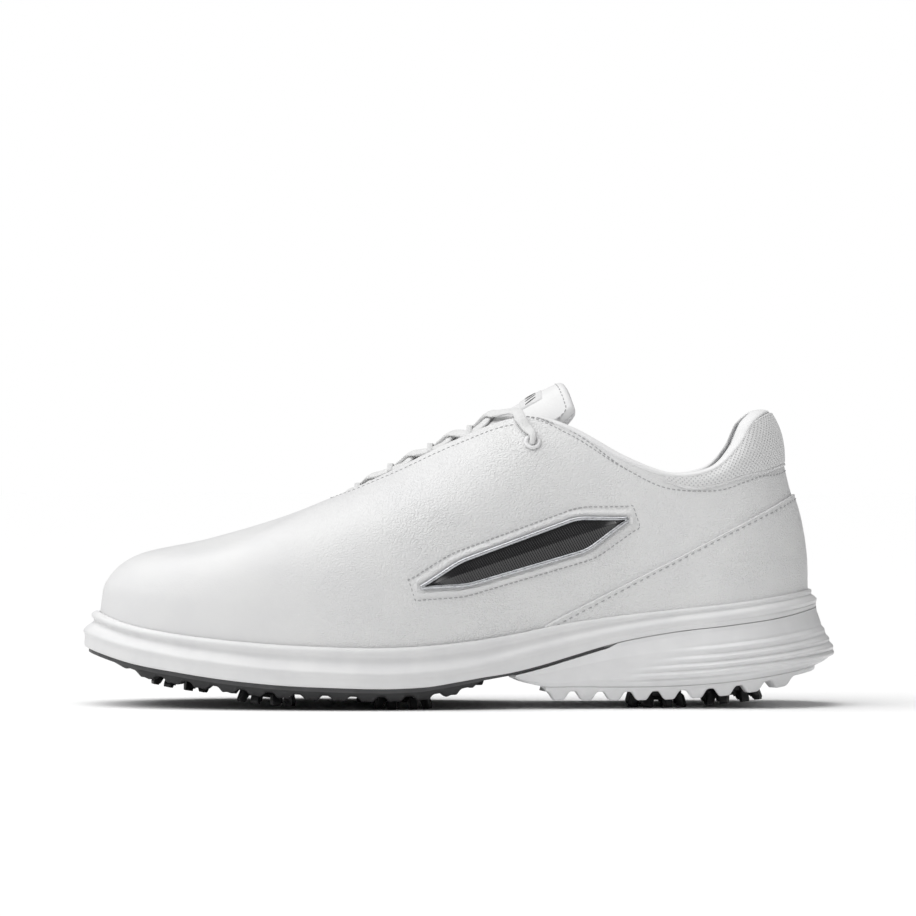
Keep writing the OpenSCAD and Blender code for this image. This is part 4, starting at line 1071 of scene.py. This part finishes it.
def lug_band(angles):
    """A thin layer under the plate's edge, with a scalloped row of tread blocks."""
    x = outline(angles)[:, 0]
    block = 1.1 + (1 - ease(1.9, 4.6, off_lug(x, FIRST_FOREFOOT_LUG))) * (LUG_H - 1.6)
    block = block * ease(-142, -124, x) * ease(9, 3, x)
    wobble = 0.14 * np.sin(x * 1.7) * (block > 1.5)
    # Distance outside the outline, share of the block's height, height, and share of the wobble
    profile = [(-3.4, 0, 0.5, 0), (-3.4, 0, -0.35, 0), (-2.9, 0.8, -0.45, 0), (-2.3, 1, -0.5, 0),
               (0.9, 1, -0.5, 1), (1.6, 0.85, -0.45, 0), (2.1, 0.2, -0.4, 0), (2.3, 0, -0.2, 0),
               (2.3, 0, 0.5, 0)]
    under = -0.15 - plate_at(x)
    levels = np.stack([ring(angles, d, EDGE_Z, under + up - part * block + wave * wobble)
                       for d, part, up, wave in profile])
    rows, count = levels.shape[:2]
    ends = [[k * count for k in range(rows)], [k * count + count - 1 for k in range(rows - 1, -1, -1)]]
    return levels, quads(rows, count, True) + ends


def single_lug(x, y):
    """A block that stands alone and narrows towards the ground."""
    sides = 28
    t = circle(sides)
    blocky = np.stack([power(np.cos(t), 0.4), power(np.sin(t), 0.4)], -1) * [2.6, 2.8]
    top = smooth(BASE_Z, x) - 0.15 - plate_at(x)
    rows = [np.concatenate([blocky * grow + [x, y], np.full((sides, 1), top - drop)], 1) for grow, drop in (
        (1.0, -0.5), (1.0, 0.1), (0.92, 0.7), (0.74, LUG_H - 1.3), (0.66, LUG_H - 0.95), (0.5, LUG_H - 0.8))]
    ends = [list(range(sides)), list(range(sides * (len(rows) - 1), sides * len(rows)))]
    return np.stack(rows), quads(len(rows), sides, False, True) + ends


def make_forefoot_tread():
    """A band of tread blocks along each edge, and single blocks inside them, clear of the cleats."""
    edge = np.linspace(20, 94.6, 460)
    shapes = [lug_band(edge), lug_band(mirrored(edge))]
    shapes += [single_lug(x, 0.0) for x in range(-96, 3, 15)]
    for x in range(FIRST_FOREFOOT_LUG + LUG_PITCH, LAST_FOREFOOT_LUG + 1, LUG_PITCH):
        if all(abs(x - row) > clear for row, clear in CLEAT_ROWS):
            a = math.degrees(math.acos((MID_X - x) / HALF_L))
            shapes += [single_lug(x, plan(np.float64(way), -LUG_INSET)[1]) for way in (a, mirrored(a))]
    piece("forefoot_tread", join(shapes), BLACK_TPU, "forefoot_lugs", sharp=50)


def round_edges(part, width):
    """Breaks the sharp edges of a moulded CAD part."""
    part.modifiers.new("weld", "WELD").merge_threshold = 0.00001
    bevel = part.modifiers.new("bevel", "BEVEL")
    bevel.width, bevel.segments = width * MM, 2
    bevel.limit_method, bevel.angle_limit = "ANGLE", math.radians(35)
    bevel.harden_normals = True


def floor_grid(inset, height, dish=0.0):
    """A grid over the inside of the sole, above its floor and a little short of both tips; dish lifts the
    sides."""
    a = 90 - 88.6 * np.cos(np.linspace(0, np.pi, 170))
    left, right = plan(a, -inset), plan(mirrored(a), -inset)
    s = np.sin(np.linspace(-np.pi / 2, np.pi / 2, 48))[:, None, None]
    flat = left[None] * (1 - s) / 2 + right[None] * (1 + s) / 2
    z = smooth(FLOOR_Z, flat[..., 0]) + height + dish * np.abs(s[..., 0]) ** 4
    return np.concatenate([flat, z[..., None]], -1)


def make_sockliner():
    cloth_shape = slab(floor_grid(4.4, 6.0, 0.6), floor_grid(4.4, 5.4, 0.6))
    cloth = piece("sockliner_top", cloth_shape, INSOLE_CLOTH, "sockliner_cloth")
    bed_shape = slab(floor_grid(4.6, 5.2, 0.6), floor_grid(5.2, 1.7))
    piece("sockliner_bed", bed_shape, INSOLE_FOAM, "sockliner_foam")


# ---- Tongue ----

# Middle line of the tongue: x, z, half width
TONGUE_LINE = [
    [-58, 74.6, 11], [-50, 79.2, 13], [-45, 82.6, 14.5], [-34, 90, 16], [-18, 99, 17.5], [-2, 107.1, 18.5],
    [13.5, 115.2, 18], [28, 123.7, 17.8], [36, 128, 18.6], [41, 130.3, 18.8], [44, 131.4, 18.4],
    [50, 133, 18.4],
]


def tongue_arch(x):
    return 0.026 + 0.017 * ease(-15, 30, x) + 0.006 * ease(33, 44, x)


def tongue_slope(x):
    return smooth(TONGUE_LINE, x + 0.5) - smooth(TONGUE_LINE, x - 0.5)


def tongue_up(x, y):
    return unit(stack(-tongue_slope(x), 2 * tongue_arch(x) * y, 1.0))


def tongue_at(x, y, d=0.0):
    """Point at x along and y across the tongue, at depth d under its outer face."""
    x, y, d = np.broadcast_arrays(*[np.asarray(k, float) for k in (x, y, d)])
    lean = np.arctan(tongue_slope(x))
    z = smooth(TONGUE_LINE, x) - tongue_arch(x) * y**2
    return stack(x + d * np.sin(lean), throat_shift(x) + y, z - d * np.cos(lean))


def tongue_end(across):
    """The upper end of the tongue, cut in a shallow curve with rounded corners."""
    return 42.4 + 5.4 * np.abs(across) ** 1.4 - 7 * ease(0.8, 1.04, np.abs(across)) ** 1.3


def tongue_layer(start, rows, columns, trim, radius, outer, inner):
    """A sheet of the tongue. Outer and inner are the depths of its faces at the border, and what is added to
    them in the middle."""
    across = np.sin(np.linspace(-np.pi / 2, np.pi / 2, rows))[:, None]
    along = eased_rows(columns)[None]
    x = start + (tongue_end(across) - trim - start) * along
    y = across * (smooth(TONGUE_LINE, x, 2) - trim)
    y = y * (1 - 0.1 * ease(0.93, 1.0, along) * np.abs(across) ** 6)
    body = rounding(tongue_at(x, y), radius)
    return slab(*[tongue_at(x, y, border + more * body) for border, more in (outer, inner)])


def make_tongue():
    face = tongue_layer(-56, 72, 150, 0, 2.4, (2.0, -2.2), (2.6, -1.6))
    piece("tongue_face", face, TONGUE_LEATHER, "tongue_shell", "tongue")
    core = tongue_layer(-46, 40, 90, 1.4, 2.0, (2.3, -1.1), (2.6, 1.5))
    piece("tongue_padding", core, PADDING_FOAM, "tongue_foam", "tongue")
    backing = tongue_layer(-46, 40, 90, 0, 2.4, (2.7, 1.5), (3.2, 1.7))
    piece("tongue_backing", backing, LINING, "tongue_lining", "tongue")

    stitch_inset = 3.0
    across = np.linspace(-0.94, 0.94, 70)
    x, y = tongue_end(across) - stitch_inset, across * TONGUE_LINE[-1][2]
    piece("tongue_stitches", stitches(tongue_at(x, y, -0.2), tongue_up(x, y)), SHADED_STITCH, body="tongue")


def make_label():
    """A plain tab with a row of short slanted dashes worked in black thread."""
    x, y = np.meshgrid(np.linspace(25, 34, 24), np.linspace(-9, 9, 40))
    body = rounding(tongue_at(x, y), 0.5)
    tab = slab(tongue_at(x, y, -0.25 - 0.4 * body), tongue_at(x, y, -0.1))
    piece("tongue_tab", tab, LABEL, "tongue_label", "tongue")
    dash = np.linspace(-1, 1, 30)
    taper = np.sqrt(1.02 - dash**2)
    bars = []
    for middle_y in np.linspace(-7, 7, 7):
        x, y = 29.5 + 2.2 * dash, middle_y + 0.8 * dash
        bars.append(tube(tongue_at(x, y, -0.7), tongue_up(x, y), 0.75 * taper, 0.3 * taper, 10))
    piece("tongue_tab_bars", join(bars), BLACK_TPU, body="tongue")


# ---- Lace ----

LACE_W, LACE_T, LACE_STEP, BRAID_PITCH = 4.4, 1.5, 0.42, 1.7
LACE_ROWS, CROSSINGS, TURN_INSET, TURN_RISE = [-39, -26, -10, 6], [-34, -18, -2, 13.5], 5.8, 2.25
HIDDEN_DEPTH = LEATHER_T + 3.4  # of the lace's ends, behind the eyelets


def edge_half(x):
    """Half width of the throat's opening."""
    rows = np.array([row[1:3] for row in TOP_EDGE if 50 <= row[0] <= 110])
    return float(np.interp(x, *rows.T))


# A point of the lace's route is its place, the direction of its face, and shares of its width and thickness.


def on_tongue(x, y, depth):
    return [tongue_at(x, y, depth), tongue_up(np.float64(x), y), 1, 1]


def turn(k, t):
    return on_tongue(LACE_ROWS[k], t * (edge_half(LACE_ROWS[k]) - TURN_INSET), -TURN_RISE)


def lace_leg(k, s):
    """One strand from row k across the middle, over or under the other strand."""
    t, over = (s if k % 2 == 0 else -s), (k % 2 == 0) == (s > 0)
    far, near = (-2.8, -2.95) if over else (-1.35, -1.25)
    return [turn(k, t)] + [on_tongue(CROSSINGS[k] + dx, t * y, depth) for dx, y, depth in (
        (-3.2, 6.4, far), (-0.8, 2.2, near), (0.8, -2.2, near), (3.2, -6.4, far))]


def lace_end(s):
    """From the edge of the opening through the top eyelet, to the tucked end behind it."""
    def on_skin(a, v, d, wide, tall):
        return [skin(on_side(a, s), v, d), skin_out(on_side(a, s), v), wide, tall]

    e, n = eyelet_frame(s)
    u = unit(spot(on_side(EYELET_ANGLE, s), 0.95) - e)
    return [
        [spot(on_side(100, s), 1.0) + [-1, -s * 3, 2.1], unit(np.array([-0.4, s * 0.35, 1])), 1, 1],
        on_skin(100.6, 0.97, 1.75, 1, 1),
        on_skin(101.8, 0.915, 1.25, 0.9, 1.05),
        [e + u * 2.6 + n * 2.2, n, 0.66, 1.4],
        [e + n, unit(n - u), 0.52, 1.6],
        [e - n * 1.4, -u, 0.54, 1.6],
        [e - n * 4 - u * 1.2, unit(n - u), 0.6, 1.6],
        on_skin(102, 0.76, -HIDDEN_DEPTH, 0.9, 1),
        on_skin(100, 0.68, -HIDDEN_DEPTH, 1, 1),
        on_skin(97, 0.61, -HIDDEN_DEPTH, 0.8, 1.3),
        on_skin(95.4, 0.58, -HIDDEN_DEPTH, 0.5, 1.5),
    ]


def lace_route():
    strands = {s: [point for k in range(4) for point in lace_leg(k, s)] for s in (-1, 1)}
    across = [on_tongue(-42.6, y, -2.8) for y in (-5, 0, 5)]
    return lace_end(-1)[::-1] + strands[-1][::-1] + across + strands[1] + lace_end(1)


def flowing(rows, steps):
    """Catmull-Rom through rows of numbers."""
    rows = np.asarray(rows, float)
    ends = np.concatenate([rows[:1], rows, rows[-1:]])
    p0, p1, p2, p3 = (p[:, None] for p in (ends[:-3], ends[1:-2], ends[2:-1], ends[3:]))
    t = np.linspace(0, 1, steps, endpoint=False)[None, :, None]
    curve = 0.5 * (2 * p1 + (p2 - p0) * t + (2 * p0 - 5 * p1 + 4 * p2 - p3) * t**2
                   + (3 * p1 - p0 - 3 * p2 + p3) * t**3)
    return np.concatenate([curve.reshape(-1, rows.shape[1]), rows[-1:]])


def make_lace():
    """One flat braided lace, with the chevron ribs of the braid in its surface."""
    fine = flowing([[*place, *up, wide, tall] for place, up, wide, tall in lace_route()], 14)
    line, rest = resampled(fine[:, :3], LACE_STEP, fine[:, 3:])
    sides = 24
    points, faces = tube(line, unit(rest[:, :3]), LACE_W * rest[:, 3], LACE_T * rest[:, 4], sides, 2.6)
    t = circle(sides)
    along = np.arange(len(line)) * LACE_STEP
    chevron = np.cos(2 * np.pi * (along[:, None] / BRAID_PITCH + np.abs(np.cos(t))[None] * 0.9))
    ribs = unit(points - line[:, None]) * (0.09 * chevron)[..., None] * np.abs(np.sin(t))[None, :, None]
    piece("shoe_lace", (points + ribs, faces), LACE, "lace", sharp=70)


def make_loops():
    """Webbing loops that hold the lace at the edge of the opening."""
    loops = []
    to_edge, to_middle, half_height = 2.75, 5.05, 1.15
    q = circle(48)
    for k in range(4):
        for t in (-1, 1):
            place, up = turn(k, t)[:2]
            wide = unit(np.cross(up, [1, 0, 0]))
            wide = wide * (1 if wide[1] > 0 else -1)
            reach = np.where(np.cos(q) * t > 0, to_edge, to_middle) * power(np.cos(q), 0.5)
            path = place + wide * reach[:, None] + up * (half_height * power(np.sin(q), 0.5))[:, None]
            loops.append(tube(path, [1, 0, 0], 0.45, 2.2, 8, 3, True))
    piece("webbing_loops", join(loops), WEBBING, "lace_loops")


def make_eyelets():
    """The rings of the two top eyelets, turned from a rounded profile: radius and height."""
    profile = corner_cut(np.array([[1.72, -2.9], [2.35, -2.9], [2.35, 0.25], [3.55, 0.2], [3.5, 0.6],
                                   [3.1, 0.95], [2.6, 0.95], [2.1, 0.8], [1.78, 0.45]]), 2, True)
    rings = []
    t = circle(64)
    for s in (-1, 1):
        centre, n = eyelet_frame(s)
        u = unit(np.cross(n, [0, 0, 1]))
        radial = u * np.cos(t)[:, None] + np.cross(n, u) * np.sin(t)[:, None]
        points = centre + radial[:, None] * profile[None, :, :1] + n * profile[None, :, 1:]
        rings.append((points, quads(len(t), len(profile), True, True)))
    piece("eyelets", join(rings), WHITE_TPU, "eyelet_rings")


for make in (make_upper, make_heel_foxing, make_collar_panel, make_lining, make_collar_foam, make_collar_roll,
             make_seams, make_emblem, make_midsole, make_heel_wedge, make_heel_outsole, make_forefoot_tread,
             make_sockliner, make_tongue, make_label, make_lace, make_loops, make_eyelets):
    make()
CLEAT_ROUNDING = 0.3
for name, part in NODES.items():
    if name.startswith("cleat"):
        round_edges(part, CLEAT_ROUNDING)

# ---- Floor ----

REACH = 12
floor_mesh = bpy.data.meshes.new("floor")
floor_mesh.from_pydata([(-REACH, -REACH, 0), (REACH, -REACH, 0), (REACH, REACH, 0), (-REACH, REACH, 0)], [],
                       [(0, 1, 2, 3)])
floor = placed("floor", floor_mesh)
floor.data.materials.append(shader("floor_paper", grey(0.99), 0.9))
floor.location.z = cad_box[0].z
